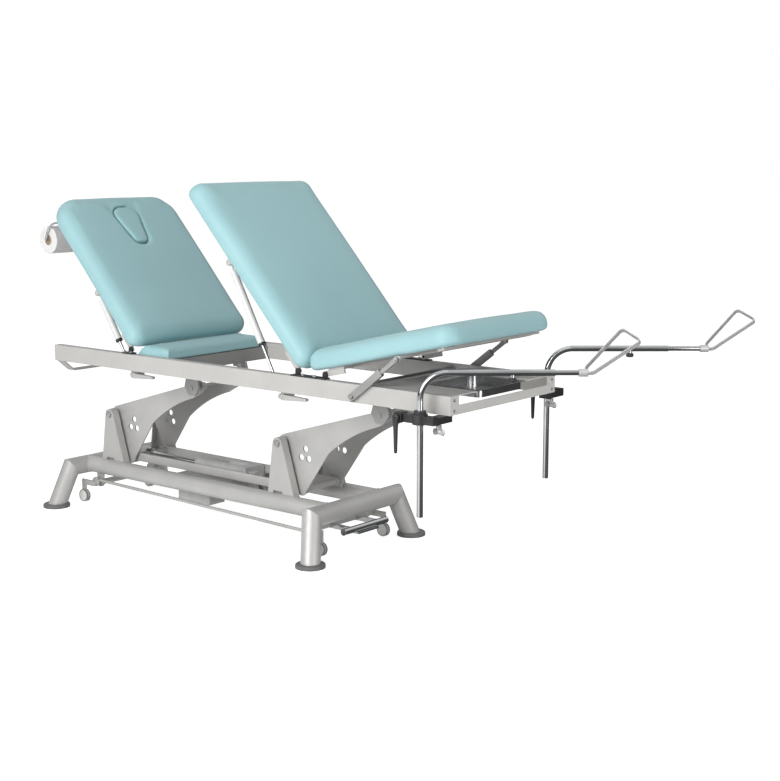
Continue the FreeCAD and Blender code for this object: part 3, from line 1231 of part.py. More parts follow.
def stirrup(hand, out):
    """Chrome strip loop welded to a collar that turns on the rod."""
    end = rod_end(hand, out)
    collar = rod(end - BAR_DIR * 16, end + BAR_DIR * 12, ROD_DIA + 8)
    origin = end + BAR_DIR * 8 - LOOP_NORMAL * (STIRRUP_STRIP[0] / 2)
    outer = loop_face(origin, 0).extrude(LOOP_NORMAL * STIRRUP_STRIP[0])
    inner = loop_face(origin, STIRRUP_STRIP[1]).extrude(LOOP_NORMAL * STIRRUP_STRIP[0])
    loop = outer.cut(inner).fuse(collar)
    bore = rod(end - BAR_DIR * 40, end + BAR_DIR * SEAT_GAP, ROD_DIA + 2 * RUN_FIT)
    return loop.cut(bore).removeSplitter()


clamp = leg_clamp()
parts["leg_clamps"] = both_sides(clamp)
for name, hand, out in (("near", -1, ROD_OUT[0]), ("far", 1, ROD_OUT[1])):
    for piece, shape in (("clamp_bush", clamp_bush()), ("clamp_lever", clamp_lever()), ("wing_screw", wing_screw())):
        parts["%s_%s" % (piece, name)] = shape if hand < 0 else mirror_y(shape)
    parts["leg_post_" + name] = leg_post(hand)
    parts["bar_knob_" + name] = bar_knob(hand)
    parts["stirrup_rod_" + name] = stirrup_rod(hand, out)
    parts["stirrup_" + name] = stirrup(hand, out)


# Origin: middle of the bounding box, on the floor

bounds = FreeCAD.BoundBox()
for shape in parts.values():
    bounds.add(shape.optimalBoundingBox(False))
shift = Vector(-bounds.Center.x, -bounds.Center.y, -bounds.ZMin)
os.makedirs("parts", exist_ok=True)
for name, shape in parts.items():
    placed = shape.copy()
    placed.translate(shift)
    placed.exportStep("parts/%s.step" % name)
print("origin shift", shift.x, shift.y, shift.z)
print("size", bounds.XLength, bounds.YLength, bounds.ZLength)
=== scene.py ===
import math

import bmesh
import bpy
import numpy as np
from mathutils import Matrix, Vector


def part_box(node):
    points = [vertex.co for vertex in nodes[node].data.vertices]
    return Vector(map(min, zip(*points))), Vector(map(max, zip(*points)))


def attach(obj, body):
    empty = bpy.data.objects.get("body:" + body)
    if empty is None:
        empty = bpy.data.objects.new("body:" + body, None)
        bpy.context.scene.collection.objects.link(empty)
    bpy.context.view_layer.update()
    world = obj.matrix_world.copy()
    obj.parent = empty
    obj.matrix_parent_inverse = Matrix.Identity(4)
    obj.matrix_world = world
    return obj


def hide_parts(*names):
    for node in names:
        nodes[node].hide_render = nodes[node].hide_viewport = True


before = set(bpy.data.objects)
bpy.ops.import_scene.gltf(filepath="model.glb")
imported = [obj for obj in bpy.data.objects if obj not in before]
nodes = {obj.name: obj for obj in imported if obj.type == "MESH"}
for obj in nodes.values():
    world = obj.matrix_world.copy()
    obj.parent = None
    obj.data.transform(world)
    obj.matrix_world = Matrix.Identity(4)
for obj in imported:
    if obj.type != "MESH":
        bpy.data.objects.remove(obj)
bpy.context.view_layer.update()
scene = bpy.context.scene
scene.view_settings.view_transform = "Standard"

# Standing place: the middle of the four feet is the zero that the table was measured from.
# The camera stands at the foot end's near corner, a little above the cushions.
feet_low, feet_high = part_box("foot_cups")
STAND = Vector(((feet_low.x + feet_high.x) / 2, (feet_low.y + feet_high.y) / 2, 0.0))


def spot(x, y, z):
    """A place on the table in millimetres from the middle of its feet."""
    return STAND + Vector((x, y, z)) / 1000.0


CAMERA_AT = spot(3911.0, -3815.0, 1398.0)
CAMERA_TURN = math.radians(39.2)
CAMERA_DIP = math.radians(9.4)
FOCAL_PIXELS = 1466.6
IMAGE_HIGH = 781.0

camera_data = bpy.data.cameras.new("camera")
camera_data.sensor_fit = "VERTICAL"
camera_data.sensor_height = 36.0
camera_data.lens = FOCAL_PIXELS / IMAGE_HIGH * camera_data.sensor_height
camera = bpy.data.objects.new("camera", camera_data)
camera.location = CAMERA_AT
camera.rotation_euler = (math.pi / 2 - CAMERA_DIP, 0.0, CAMERA_TURN)
scene.collection.objects.link(camera)
scene.camera = camera


# Studio: a pale floor that takes the shadow, an even white surround, one wide lamp from the
# near side, a weaker one overhead and a fill from the foot end.
class Value:
    """One output of a material's nodes; sums on it add the nodes that work them out."""

    def __init__(self, finish, socket):
        self.finish = finish
        self.socket = socket

    def maths(self, operation, other, swap=False):
        first, second = (other, self) if swap else (self, other)
        return self.finish.add("ShaderNodeMath", {"operation": operation}, {0: first, 1: second})

    def __add__(self, other):
        return self.maths("ADD", other)

    def __sub__(self, other):
        return self.maths("SUBTRACT", other)

    def __rsub__(self, other):
        return self.maths("SUBTRACT", other, True)

    def __mul__(self, other):
        return self.maths("MULTIPLY", other)

    __radd__ = __add__
    __rmul__ = __mul__


class Finish:
    """A material and its nodes."""

    def __init__(self, name):
        self.material = bpy.data.materials.new(name)
        self.material.use_nodes = True
        self.tree = self.material.node_tree
        self.shader = self.tree.nodes["Principled BSDF"]
        self.place = self.add("ShaderNodeTexCoord", out="Object")

    def feed(self, socket, value):
        if isinstance(value, Value):
            self.tree.links.new(value.socket, socket)
        else:
            socket.default_value = value

    def add(self, kind, settings=None, sockets=None, out=0):
        node = self.tree.nodes.new(kind)
        for key, value in (settings or {}).items():
            setattr(node, key, value)
        for key, value in (sockets or {}).items():
            self.feed(node.inputs[key], value)
        return Value(self, node.outputs[out])

    def noise(self, scale, detail=2.0, stretch=None):
        place = self.place
        if stretch:
            place = self.add("ShaderNodeMapping", None, {"Vector": place, "Scale": stretch})
        return self.add("ShaderNodeTexNoise", None, {"Vector": place, "Scale": scale, "Detail": detail})

    def cells(self, scale, feature="F1", out="Distance"):
        sockets = {"Vector": self.place, "Scale": scale}
        return self.add("ShaderNodeTexVoronoi", {"feature": feature}, sockets, out)

    def mix(self, share, low, high):
        return self.add("ShaderNodeMix", {"data_type": "RGBA"}, {0: share, 6: low, 7: high}, 2)

    def limits(self, value, from_low, from_high, low, high, kind="LINEAR"):
        """A value stretched from one pair of limits to another and kept inside them."""
        sockets = {"Value": value, "From Min": from_low, "From Max": from_high}
        sockets.update({"To Min": low, "To Max": high})
        return self.add("ShaderNodeMapRange", {"interpolation_type": kind}, sockets)

    def span(self, value, low, high):
        """A noise value stretched from about 0.3..0.7 to two limits."""
        return self.limits(value, 0.3, 0.7, low, high)

    def streaks(self, way, sectors):
        """Light and dark sectors round the table, as softboxes and the gaps between them.

        Sectors are a count, a turn of the pattern and the level in the dark ones.
        """
        count, phase, dark = sectors
        x = self.add("ShaderNodeSeparateXYZ", None, {0: way}, "X")
        y = self.add("ShaderNodeSeparateXYZ", None, {0: way}, "Y")
        turn = self.add("ShaderNodeMath", {"operation": "ARCTAN2"}, {0: y, 1: x})
        wave = self.add("ShaderNodeMath", {"operation": "SINE"}, {0: turn * count + phase})
        return self.limits(wave, -SECTOR_SOFTNESS, SECTOR_SOFTNESS, dark, 1.0, "SMOOTHSTEP")

    def set(self, sockets):
        for key, value in sockets.items():
            self.feed(self.shader.inputs[key], value)

    def bump(self, height, depth, normal=None):
        sockets = {"Height": height, "Distance": depth}
        if normal is not None:
            sockets["Normal"] = normal
        return self.add("ShaderNodeBump", None, sockets)

    def soft_edge(self, radius):
        """Normals that round the sharp edges of cut and bent metal."""
        return self.add("ShaderNodeBevel", {"samples": 4}, {"Radius": radius})


def tone(red, green, blue):
    return (red, green, blue, 1.0)


FLOOR_HALF = 40.0
FLOOR_CORNERS = ((-1, -1), (1, -1), (1, 1), (-1, 1))
FLOOR_WHITE = 0.9
FLOOR_DARKENING = 0.84
FLOOR_GLOW = 0.74
FLOOR_SHINE = 0.5
WORLD_LEVEL = 0.38
FLAG_LEVEL = 0.14
FLAG_TOP = 0.34
FLAG_FADE = 0.4
SECTOR_SOFTNESS = 0.35
DARK_SIDE = (1.0, -2.18, 0.06)
NARROW_GAPS = (5.0, 0.9, 0.55)

floor_mesh = bpy.data.meshes.new("floor")
floor_points = [(x * FLOOR_HALF, y * FLOOR_HALF, 0.0) for x, y in FLOOR_CORNERS]
floor_mesh.from_pydata(floor_points, [], [(0, 1, 2, 3)])
floor = bpy.data.objects.new("floor", floor_mesh)
scene.collection.objects.link(floor)
floor_finish = Finish("studio_floor")
floor_rays = floor_finish.add("ShaderNodeLightPath", out="Is Camera Ray")
floor_shine = floor_finish.add("ShaderNodeLightPath", out="Is Glossy Ray")
dark_side = floor_finish.streaks(floor_finish.place, DARK_SIDE)
sectors = dark_side * floor_finish.streaks(floor_finish.place, NARROW_GAPS)
floor_finish.set({"Base Color": FLOOR_WHITE - floor_shine * (1 - sectors) * FLOOR_DARKENING,
                  "Roughness": 0.9, "Specular IOR Level": 0.1,
                  "Emission Color": floor_rays * FLOOR_GLOW + floor_shine * sectors * FLOOR_SHINE,
                  "Emission Strength": 1.0})
floor_mesh.materials.append(floor_finish.material)


class Surround(Finish):
    """The white studio round the table; in reflections it has a low dark flag and dark gaps."""

    def __init__(self):
        studio = bpy.data.worlds.new("studio")
        studio.use_nodes = True
        scene.world = studio
        self.tree = studio.node_tree
        self.shader = self.tree.nodes["Background"]
        self.place = self.add("ShaderNodeTexCoord", out="Generated")


surround = Surround()
look = surround.add("ShaderNodeSeparateXYZ", None, {0: surround.place}, "Z")
seen = surround.add("ShaderNodeLightPath", out="Is Camera Ray")
shine = surround.add("ShaderNodeLightPath", out="Is Glossy Ray")
open_sky = surround.limits(look, FLAG_TOP * FLAG_FADE, FLAG_TOP, FLAG_LEVEL, 1.0, "SMOOTHSTEP")
boxes = surround.streaks(surround.place, NARROW_GAPS)
unseen = shine * open_sky * boxes + (1 - shine) * WORLD_LEVEL
surround.set({"Color": seen + (1 - seen) * unseen, "Strength": 1.0})


def lamp(name, power, size, place, target):
    data = bpy.data.lights.new(name, "AREA")
    data.energy = power
    data.size = size
    light = bpy.data.objects.new(name, data)
    light.location = place
    light.rotation_euler = (target - place).to_track_quat("-Z", "Y").to_euler()
    scene.collection.objects.link(light)


lamp("key", power=150.0, size=2.6, place=spot(900, -4200, 2200), target=spot(300, 0, 700))
lamp("overhead", power=9.0, size=3.0, place=spot(300, 200, 3600), target=spot(200, 0, 600))
lamp("fill", power=38.0, size=2.0, place=spot(4300, -500, 700), target=spot(600, 0, 450))


# Base frame: round steel tubes welded into two end frames with splayed legs, joined by two long
# tubes, all baked in warm silver powder paint. The welds stay as rippled beads under the paint.
def powder_coat(name, dark, light, metallic, rough):
    """Baked powder: fine orange peel, tiny flakes of another tone, edges slightly rounded."""
    finish = Finish(name)
    flake = finish.cells(900.0, out="Color")
    fleck = finish.add("ShaderNodeSeparateColor", None, {0: flake})
    cloud = finish.noise(6.0, 3.0)
    shade = fleck * 0.35 + finish.span(cloud, 0.2, 0.65)
    peel = finish.noise(520.0, 2.0)
    finish.set({"Base Color": finish.mix(shade, dark, light), "Metallic": metallic,
                "Roughness": finish.span(finish.noise(40.0), rough - 0.05, rough + 0.07),
                "Normal": finish.bump(peel, 0.00012, finish.soft_edge(0.0012))})
    return finish.material


def wear(material, *names):
    """Give the source's solids a finish."""
    for name in names:
        slots = nodes[name].data.materials
        slots.clear()
        slots.append(material)


FLUTE_DEPTH = 0.045


def outline_at(radius, angle, sides):
    """Distance from the axis of a round, a many-sided or, below zero, a fluted outline."""
    if sides > 0:
        share = 2 * math.pi / sides
        return radius * math.cos(share / 2) / math.cos(angle % share - share / 2)
    if sides < 0:
        return radius * (1.0 + FLUTE_DEPTH * math.cos(sides * angle))
    return radius


def smooth_mesh(name, shape, crease):
    """A mesh of a finished shape, shaded smooth apart from edges of more than crease degrees."""
    bmesh.ops.recalc_face_normals(shape, faces=shape.faces)
    mesh = bpy.data.meshes.new(name)
    shape.to_mesh(mesh)
    shape.free()
    for face in mesh.polygons:
        face.use_smooth = True
    mesh.set_sharp_from_angle(angle=math.radians(crease))
    return mesh


def turned(name, profile, steps=48):
    """A mesh turned about Z; rows are radius and height in millimetres and, if not round, sides."""
    shape = bmesh.new()
    rings = []
    for row in profile:
        radius = row[0] / 1000.0
        height = row[1] / 1000.0
        sides = row[2] if len(row) > 2 else 0
        if radius == 0.0:
            rings.append([shape.verts.new((0.0, 0.0, height))])
            continue
        ring = []
        for i in range(steps):
            angle = 2 * math.pi * i / steps
            reach = outline_at(radius, angle, sides)
            ring.append(shape.verts.new((reach * math.cos(angle), reach * math.sin(angle), height)))
        rings.append(ring)
    for low, high in zip(rings, rings[1:]):
        for i in range(steps):
            j = (i + 1) % steps
            corners = [low[i % len(low)], low[j % len(low)], high[j % len(high)], high[i % len(high)]]
            shape.faces.new(list(dict.fromkeys(corners)))
    return smooth_mesh(name, shape, 34.0)


def baked(holder):
    """The mesh that an object's modifiers make, with the modifiers taken off."""
    shown = holder.evaluated_get(bpy.context.evaluated_depsgraph_get())
    made = bpy.data.meshes.new_from_object(shown)
    holder.modifiers.clear()
    old = holder.data
    holder.data = made
    if old.users == 0:
        bpy.data.meshes.remove(old)
    return made


def copies_tree():
    """Copies of a template on points, turned so that its top faces each point's own aim."""
    tree = bpy.data.node_groups.new("copies", "GeometryNodeTree")
    inputs = {"Geometry": "Geometry", "Template": "Object", "Size": "Float", "Finish": "Material"}
    for label, kind in inputs.items():
        tree.interface.new_socket(label, in_out="INPUT", socket_type="NodeSocket" + kind)
    tree.interface.new_socket("Geometry", in_out="OUTPUT", socket_type="NodeSocketGeometry")
    add = tree.nodes.new
    link = tree.links.new
    given = add("NodeGroupInput")
    shape = add("GeometryNodeObjectInfo")
    copies = add("GeometryNodeInstanceOnPoints")
    rotation = None
    for label, axis in (("aim", "Z"), ("along", "X")):
        way = add("GeometryNodeInputNamedAttribute")
        way.data_type = "FLOAT_VECTOR"
        way.inputs["Name"].default_value = label
        turn = add("FunctionNodeAlignRotationToVector")
        turn.axis = axis
        turn.pivot_axis = "AUTO" if rotation is None else "Z"
        link(way.outputs[0], turn.inputs["Vector"])
        if rotation is not None:
            link(rotation, turn.inputs["Rotation"])
        rotation = turn.outputs[0]
    real = add("GeometryNodeRealizeInstances")
    paint = add("GeometryNodeSetMaterial")
    made = add("NodeGroupOutput")
    link(given.outputs["Template"], shape.inputs["Object"])
    link(given.outputs["Geometry"], copies.inputs["Points"])
    link(shape.outputs["Geometry"], copies.inputs["Instance"])
    link(rotation, copies.inputs["Rotation"])
    link(given.outputs["Size"], copies.inputs["Scale"])
    link(copies.outputs[0], real.inputs[0])
    link(real.outputs[0], paint.inputs["Geometry"])
    link(given.outputs["Finish"], paint.inputs["Material"])
    link(paint.outputs[0], made.inputs[0])
    return tree


COPIES = copies_tree()


def copied(name, template, places, size, finish):
    """One mesh of equal fittings; each place is a point, an aim and a length direction."""
    mesh = bpy.data.meshes.new(name)
    mesh.from_pydata([place[0] for place in places], [], [])
    for column, label in ((1, "aim"), (2, "along")):
        ways = mesh.attributes.new(label, "FLOAT_VECTOR", "POINT")
        ways.data.foreach_set("vector", [part for place in places for part in place[column]])
    piece = bpy.data.objects.new(name, mesh)
    scene.collection.objects.link(piece)
    master = bpy.data.objects.new(name + "_master", template)
    values = {"Template": master, "Size": size, "Finish": finish}
    copies = piece.modifiers.new("copies", "NODES")
    copies.node_group = COPIES
    for socket in COPIES.interface.items_tree:
        if socket.in_out == "INPUT" and socket.name in values:
            copies[socket.identifier] = values[socket.name]
    baked(piece)
    bpy.data.objects.remove(master)
    return piece


def fitted(piece, body):
    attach(piece, body)
    return piece


SILVER = powder_coat("silver_powder", tone(0.41, 0.405, 0.395), tone(0.57, 0.565, 0.55), 0.3, 0.44)
wear(SILVER, "end_frames", "side_tubes")

SIDE_TUBE_OUT = 137.0
SIDE_TUBE_UP = 158.0
SIDE_TUBE_RADIUS = 31.5
END_TUBE_X = 640.0
END_TUBE_UP = 156.0
END_TUBE_RADIUS = 35.0
BEADS = 46
BEAD_STEP = 0.05
LENGTH = (1.0, 0.0, 0.0)
bead = turned("bead", [(0, -2.4), (1.9, -1.8), (2.8, -0.8), (2.8, 0.8), (1.9, 1.8), (0, 2.4)], 12)


def weld_point(end, side, angle):
    """A place on the line where a long tube runs into an end tube."""
    y = SIDE_TUBE_RADIUS * math.cos(angle)
    z = SIDE_TUBE_UP + SIDE_TUBE_RADIUS * math.sin(angle)
    x = END_TUBE_X - math.sqrt(END_TUBE_RADIUS ** 2 - (z - END_TUBE_UP) ** 2)
    return spot(end * x, side * SIDE_TUBE_OUT + y, z)


welds = []
for end in (-1, 1):
    for side in (-1, 1):
        for i in range(BEADS):
            angle = 2 * math.pi * i / BEADS
            here = weld_point(end, side, angle)
            ahead = (weld_point(end, side, angle + BEAD_STEP) - here).normalized()
            welds.append((here, ahead, LENGTH))
fitted(copied("tube_welds", bead, welds, 1.0, SILVER), "base")


# Feet and transport casters: each leg ends in a grey rubber cup. Two cross bars under the end tubes
# carry twin-disc casters, white hubs in grey tyres, and turn together through a link and a pedal.
def moulded(name, dark, light, rough):
    """Moulded plastic or rubber: spark-eroded skin with a faint mottle."""
    finish = Finish(name)
    skin = finish.cells(1400.0)
    mottle = finish.noise(24.0, 4.0)
    finish.set({"Base Color": finish.mix(finish.span(mottle, 0.0, 1.0), dark, light),
                "Roughness": finish.span(mottle, rough - 0.06, rough + 0.08),
                "Normal": finish.bump(skin, 0.00010, finish.soft_edge(0.0010))})
    return finish.material


def plated(name, colour, rough, smudge, grain, depth=0.00004):
    """Bright plating with faint handling marks; grain gives a drawn or brushed surface."""
    finish = Finish(name)
    marks = finish.noise(9.0, 4.0)
    lines = finish.noise(60.0, 2.0, grain)
    dull = [c * 0.86 for c in colour[:3]] + [1.0]
    finish.set({"Base Color": finish.mix(finish.span(marks, 0.0, 1.0), dull, colour), "Metallic": 1.0,
                "Roughness": finish.span(marks, rough, rough + smudge),
                "Normal": finish.bump(lines, depth, finish.soft_edge(0.0008))})
    return finish.material


def new_piece(name, mesh, *materials):
    piece = bpy.data.objects.new(name, mesh)
    scene.collection.objects.link(piece)
    for material in materials:
        mesh.materials.append(material)
    return piece


CHROME = plated("chrome_plate", tone(0.56, 0.57, 0.58), 0.06, 0.06, (1.0, 1.0, 1.0))
RUBBER = moulded("grey_rubber", tone(0.12, 0.12, 0.12), tone(0.16, 0.16, 0.156), 0.5)
HUB = moulded("caster_hub", tone(0.74, 0.74, 0.71), tone(0.82, 0.82, 0.79), 0.42)
TYRE = moulded("caster_tyre", tone(0.2, 0.2, 0.205), tone(0.26, 0.26, 0.265), 0.55)
wear(RUBBER, "foot_cups")
wear(SILVER, "caster_bar_foot", "caster_bar_head", "caster_link")
wear(CHROME, "caster_pedal")

WHEEL_HALF = [(4.0, 3.3), (22.6, 3.3), (24.2, 3.9), (25.0, 5.3), (25.0, 7.4), (24.4, 8.8), (23.2, 9.2),
              (22.0, 9.2), (21.3, 8.8), (20.8, 8.9), (20.0, 9.8), (19.0, 9.9), (9.0, 9.3), (7.6, 9.4),
              (6.6, 10.2), (0.0, 10.3)]
TYRE_FROM = 21.4
ACROSS = Matrix.Rotation(math.pi / 2, 4, "X")
wheel_profile = [(r, -z) for r, z in reversed(WHEEL_HALF)] + WHEEL_HALF
for end in ("head", "foot"):
    for hand in ("near", "far"):
        node = "caster_wheel_%s_%s" % (end, hand)
        low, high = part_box(node)
        middle = (low + high) / 2
        mesh = turned(node + "_turned", wheel_profile)
        mesh.transform(Matrix.Translation(middle) @ ACROSS)
        wheel = new_piece(node + "_turned", mesh, HUB, TYRE)
        for face in mesh.polygons:
            away = face.center - middle
            face.material_index = 1 if math.hypot(away.x, away.z) * 1000.0 > TYRE_FROM else 0
        fitted(wheel, node)
        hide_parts(node)

RIBS = 9
RIB_PITCH = 11.0
TREAD_X = 680.0
TREAD_Y = 8.0
TREAD_UP = 71.2
DOWN = (0.0, 0.0, -1.0)
LENGTHWISE = Matrix.Rotation(math.pi / 2, 4, "Y")
rib = turned("rib", [(0, -14), (1.2, -14), (1.6, -13), (1.6, 13), (1.2, 14), (0, 14)], 12)
rib.transform(LENGTHWISE)
tread = []
for i in range(RIBS):
    y = TREAD_Y + (i - (RIBS - 1) / 2) * RIB_PITCH
    tread.append((spot(TREAD_X, y, TREAD_UP), DOWN, LENGTH))
fitted(copied("tread_ribs", rib, tread, 1.0, CHROME), "caster_bar_foot")


# Lift: four folded towers on the long tubes, two plate arms turning on shouldered bolts, tie bars,
# and an electric actuator over a shallow tray, its control box hung under the tray.
GREY_PLASTIC = moulded("grey_moulding", tone(0.42, 0.42, 0.415), tone(0.5, 0.5, 0.495), 0.5)
ZINC = plated("zinc_plate", tone(0.5, 0.5, 0.49), 0.32, 0.14, (1.0, 12.0, 1.0))
wear(SILVER, "lift_towers", "lift_arm_head", "lift_arm_foot", "tie_bars", "base_tray")
wear(ZINC, "pivot_bolts")
wear(GREY_PLASTIC, "control_box", "actuator_body")
wear(CHROME, "actuator_rod")


def both_sides(xs, out, zs, aim=None, along=LENGTH):
    """Places on the near and the far side, facing outwards unless an aim is given."""
    places = []
    for x in xs:
        for z in zs:
            for side in (-1, 1):
                places.append((spot(x, side * out, z), aim or (0.0, side, 0.0), along))
    return places


PIVOT_X = (-502.0, 400.0)
PIVOT_OUT = 145.0
PIVOT_UP = 370.0
socket_cap = turned("socket_cap", [(0, 0), (10.4, 0), (11.0, 0.6), (11.0, 1.4), (9.6, 3.0), (6.4, 3.8),
                                   (5.2, 3.8, 6), (5.0, 0.9, 6), (0, 0.8)])
pivots = both_sides(PIVOT_X, PIVOT_OUT, (PIVOT_UP,))
fitted(copied("pivot_caps", socket_cap, pivots, 1.0, ZINC), "base")

LID_Y = -102.0
LID_SCREW_X = (-152.0, 2.0)
LID_SCREW_UP = (85.0, 127.0)
pan_screw = turned("pan_screw", [(0, 0), (3.6, 0), (3.8, 0.5), (3.2, 1.6), (1.9, 2.1), (1.5, 2.1, 6),
                                 (1.4, 0.8, 6), (0, 0.7)])
lid = [(spot(x, LID_Y, z), (0.0, -1.0, 0.0), LENGTH) for x in LID_SCREW_X for z in LID_SCREW_UP]
fitted(copied("box_screws", pan_screw, lid, 1.0, ZINC), "base")


# Top frame: two box rails in pale grey powder paint, darker pressed cross beams under them, a
# folded panel bolted across the foot end, a bent hanger strip at the head end, black hinge plates.
# The frames of the hinged sections wear the rails' paint; the end panel wears a lighter copy of it, painted
# light on its foot-end face, which the lamps leave darker.
PALE = powder_coat("rail_powder", tone(0.46, 0.45, 0.435), tone(0.56, 0.55, 0.53), 0.05, 0.48)
BEAM = powder_coat("beam_powder", tone(0.26, 0.26, 0.258), tone(0.36, 0.36, 0.355), 0.2, 0.5)
BLACK = moulded("black_moulding", tone(0.018, 0.018, 0.02), tone(0.03, 0.03, 0.032), 0.45)
# The end panel's paint is the rails' paint made lighter: painted light standing in for lamp light its
# foot-end face does not get.
PANEL_LIT_COPY = powder_coat("panel_powder_lit_copy", tone(0.55, 0.54, 0.525), tone(0.64, 0.63, 0.61), 0.05, 0.45)
wear(PALE, "rails", "hanger_bar", "head_frame", "back_frame", "foot_frame")
wear(PANEL_LIT_COPY, "end_panel")
wear(BEAM, "cross_members")
wear(BLACK, "hinge_plates")

UP = (0.0, 0.0, 1.0)
HINGE_BOLT_X = (657.0, 708.0, -231.0, -199.0)
HINGE_BOLT_OUT = 281.0
HINGE_PLATE_TOP = 655.0
hex_bolt = turned("hex_bolt", [(0, 0), (8.4, 0), (8.4, 1.2), (8.0, 1.5), (7.4, 1.5, 6), (7.4, 5.6, 6),
                               (6.4, 6.4), (0, 6.5)])
hinge_bolts = both_sides(HINGE_BOLT_X, HINGE_BOLT_OUT, (HINGE_PLATE_TOP,), UP)
fitted(copied("hinge_bolts", hex_bolt, hinge_bolts, 0.8, ZINC), "top_frame")

PANEL_FACE_X = 1274.0
PANEL_BOLT_OUT = 272.0
PANEL_BOLT_UP = (604.0, 636.0)
panel_bolts = both_sides((PANEL_FACE_X,), PANEL_BOLT_OUT, PANEL_BOLT_UP, LENGTH, UP)
fitted(copied("panel_bolts", pan_screw, panel_bolts, 1.3, ZINC), "top_frame")


# Gas springs and struts: a white lockable spring behind each raised section, opened by a flat
# lever under the rail, and a zinc-plated ratchet bar in a channel on each side of the foot section.
ENAMEL = powder_coat("spring_enamel", tone(0.72, 0.72, 0.71), tone(0.8, 0.8, 0.79), 0.0, 0.32)
wear(ENAMEL, "back_spring_tube", "head_spring_tube")
wear(CHROME, "back_spring_rod", "head_spring_rod")
wear(SILVER, "spring_brackets", "head_release_lever", "back_release_lever")
wear(ZINC, "strut_channels", "strut_rods")

SPRING_Y = -241.0
BACK_EYE_LOW = spot(525.0, SPRING_Y, 566.0)
BACK_EYE_TOP = spot(285.0, SPRING_Y, 1007.0)
BACK_TUBE_LENGTH = 312.0
HEAD_EYE_LOW = spot(-231.0, SPRING_Y, 566.0)
HEAD_EYE_TOP = spot(-418.0, SPRING_Y, 858.0)
HEAD_TUBE_LENGTH = 205.0
COLLAR_SEAT = 0.5
collar = turned("collar", [(5.4, 1.0), (12.4, 1.0), (13.5, 0.0), (13.5, -7.0), (13.0, -7.5), (13.0, 0.2),
                           (5.4, 0.2), (5.4, 1.0)])
for section, eye_low, eye_top, tube_length in (("back", BACK_EYE_LOW, BACK_EYE_TOP, BACK_TUBE_LENGTH),
                                               ("head", HEAD_EYE_LOW, HEAD_EYE_TOP, HEAD_TUBE_LENGTH)):
    slope = (eye_low - eye_top).normalized()
    mouth = eye_top + slope * (tube_length - COLLAR_SEAT) / 1000.0
    ring = copied(section + "_spring_collar", collar, [(mouth, slope, (0.0, 1.0, 0.0))], 1.0, BLACK)
    fitted(ring, section + "_spring_tube")

STRUT_FOOT_X = 889.0
STRUT_FOOT_OUT = 308.6
STRUT_FOOT_UP = 610.0
strut_nuts = both_sides((STRUT_FOOT_X,), STRUT_FOOT_OUT, (STRUT_FOOT_UP,))
fitted(copied("strut_nuts", hex_bolt, strut_nuts, 0.9, ZINC), "top_frame")

STRUT_TOP_X = 1066.0
STRUT_TOP_OUT = 303.5
STRUT_TOP_UP = 745.0
strut_top_bolts = both_sides((STRUT_TOP_X,), STRUT_TOP_OUT, (STRUT_TOP_UP,))
fitted(copied("strut_top_bolts", hex_bolt, strut_top_bolts, 0.8, ZINC), "strut_rods")


# Upholstery: aqua vinyl pulled over foam on a board. The three large sections are stapled underneath
# and closed with a dark woven lining; the small fixed cushion and the face plug are covered all round.
# Sizes of foam, cover and staple rows are in metres.
def vinyl():
    finish = Finish("aqua_vinyl")
    cloud = finish.noise(3.0, 3.0)
    colour = finish.mix(finish.span(cloud, 0.0, 1.0), tone(0.33, 0.56, 0.59), tone(0.355, 0.595, 0.625))
    grain = finish.cells(620.0, "SMOOTH_F1")
    pores = finish.noise(1500.0, 2.0)
    finish.set({"Base Color": colour, "Roughness": finish.span(finish.noise(30.0, 3.0), 0.42, 0.52),
                "Specular IOR Level": 0.45, "Sheen Weight": 0.15, "Sheen Roughness": 0.5,
                "Normal": finish.bump(grain + pores * 0.4, 0.00022)})
    return finish.material


def lining():
    finish = Finish("dark_lining")
    weave = finish.add("ShaderNodeTexWave", None, {"Vector": finish.place, "Scale": 260.0, "Distortion": 1.5})
    fuzz = finish.noise(300.0, 3.0)
    finish.set({"Base Color": finish.mix(fuzz, tone(0.02, 0.02, 0.022), tone(0.045, 0.045, 0.048)),
                "Roughness": 0.95, "Normal": finish.bump(weave + fuzz, 0.0002)})
    return finish.material


VINYL = vinyl()
LINING = lining()
LINING_INSET = 0.03
LINING_BAND = 0.002
STAPLE_INSET = 0.02
STAPLE_PITCH = 0.034
STAPLE_SUNK = 0.0001
PRESSURE = 4.0
STAPLED_BAND = 0.006
EDGE_ZONE = 0.052
EDGE_FADE = 0.02
BOARD_FADE = 0.012
RISE_FADE = 0.012
TUCK_AT_TOP = 0.1
CLOTH_STEPS = 20
staple = turned("staple", [(0, -5.4), (0.5, -5.2), (0.6, -4.8), (0.6, 4.8), (0.5, 5.2), (0, 5.4)], 8)
staple.transform(LENGTHWISE)


def read_points(mesh):
    points = np.empty(len(mesh.vertices) * 3)
    mesh.vertices.foreach_get("co", points)
    return points.reshape(-1, 3)


def write_points(mesh, points):
    mesh.vertices.foreach_set("co", np.ascontiguousarray(points).ravel())
    mesh.update()


def flat_copy(name, node, flatten):
    """The solid's mesh laid flat, its corners joined."""
    mesh = nodes[node].data.copy()
    mesh.transform(flatten)
    shape = bmesh.new()
    shape.from_mesh(mesh)
    bmesh.ops.remove_doubles(shape, verts=shape.verts, dist=1e-5)
    shape.to_mesh(mesh)
    shape.free()
    pad = bpy.data.objects.new(name, mesh)
    scene.collection.objects.link(pad)
    return pad


def remesh(pad, size):
    voxels = pad.modifiers.new("voxels", "REMESH")
    voxels.mode = "VOXEL"
    voxels.voxel_size = size
    voxels.use_smooth_shade = True
    baked(pad)


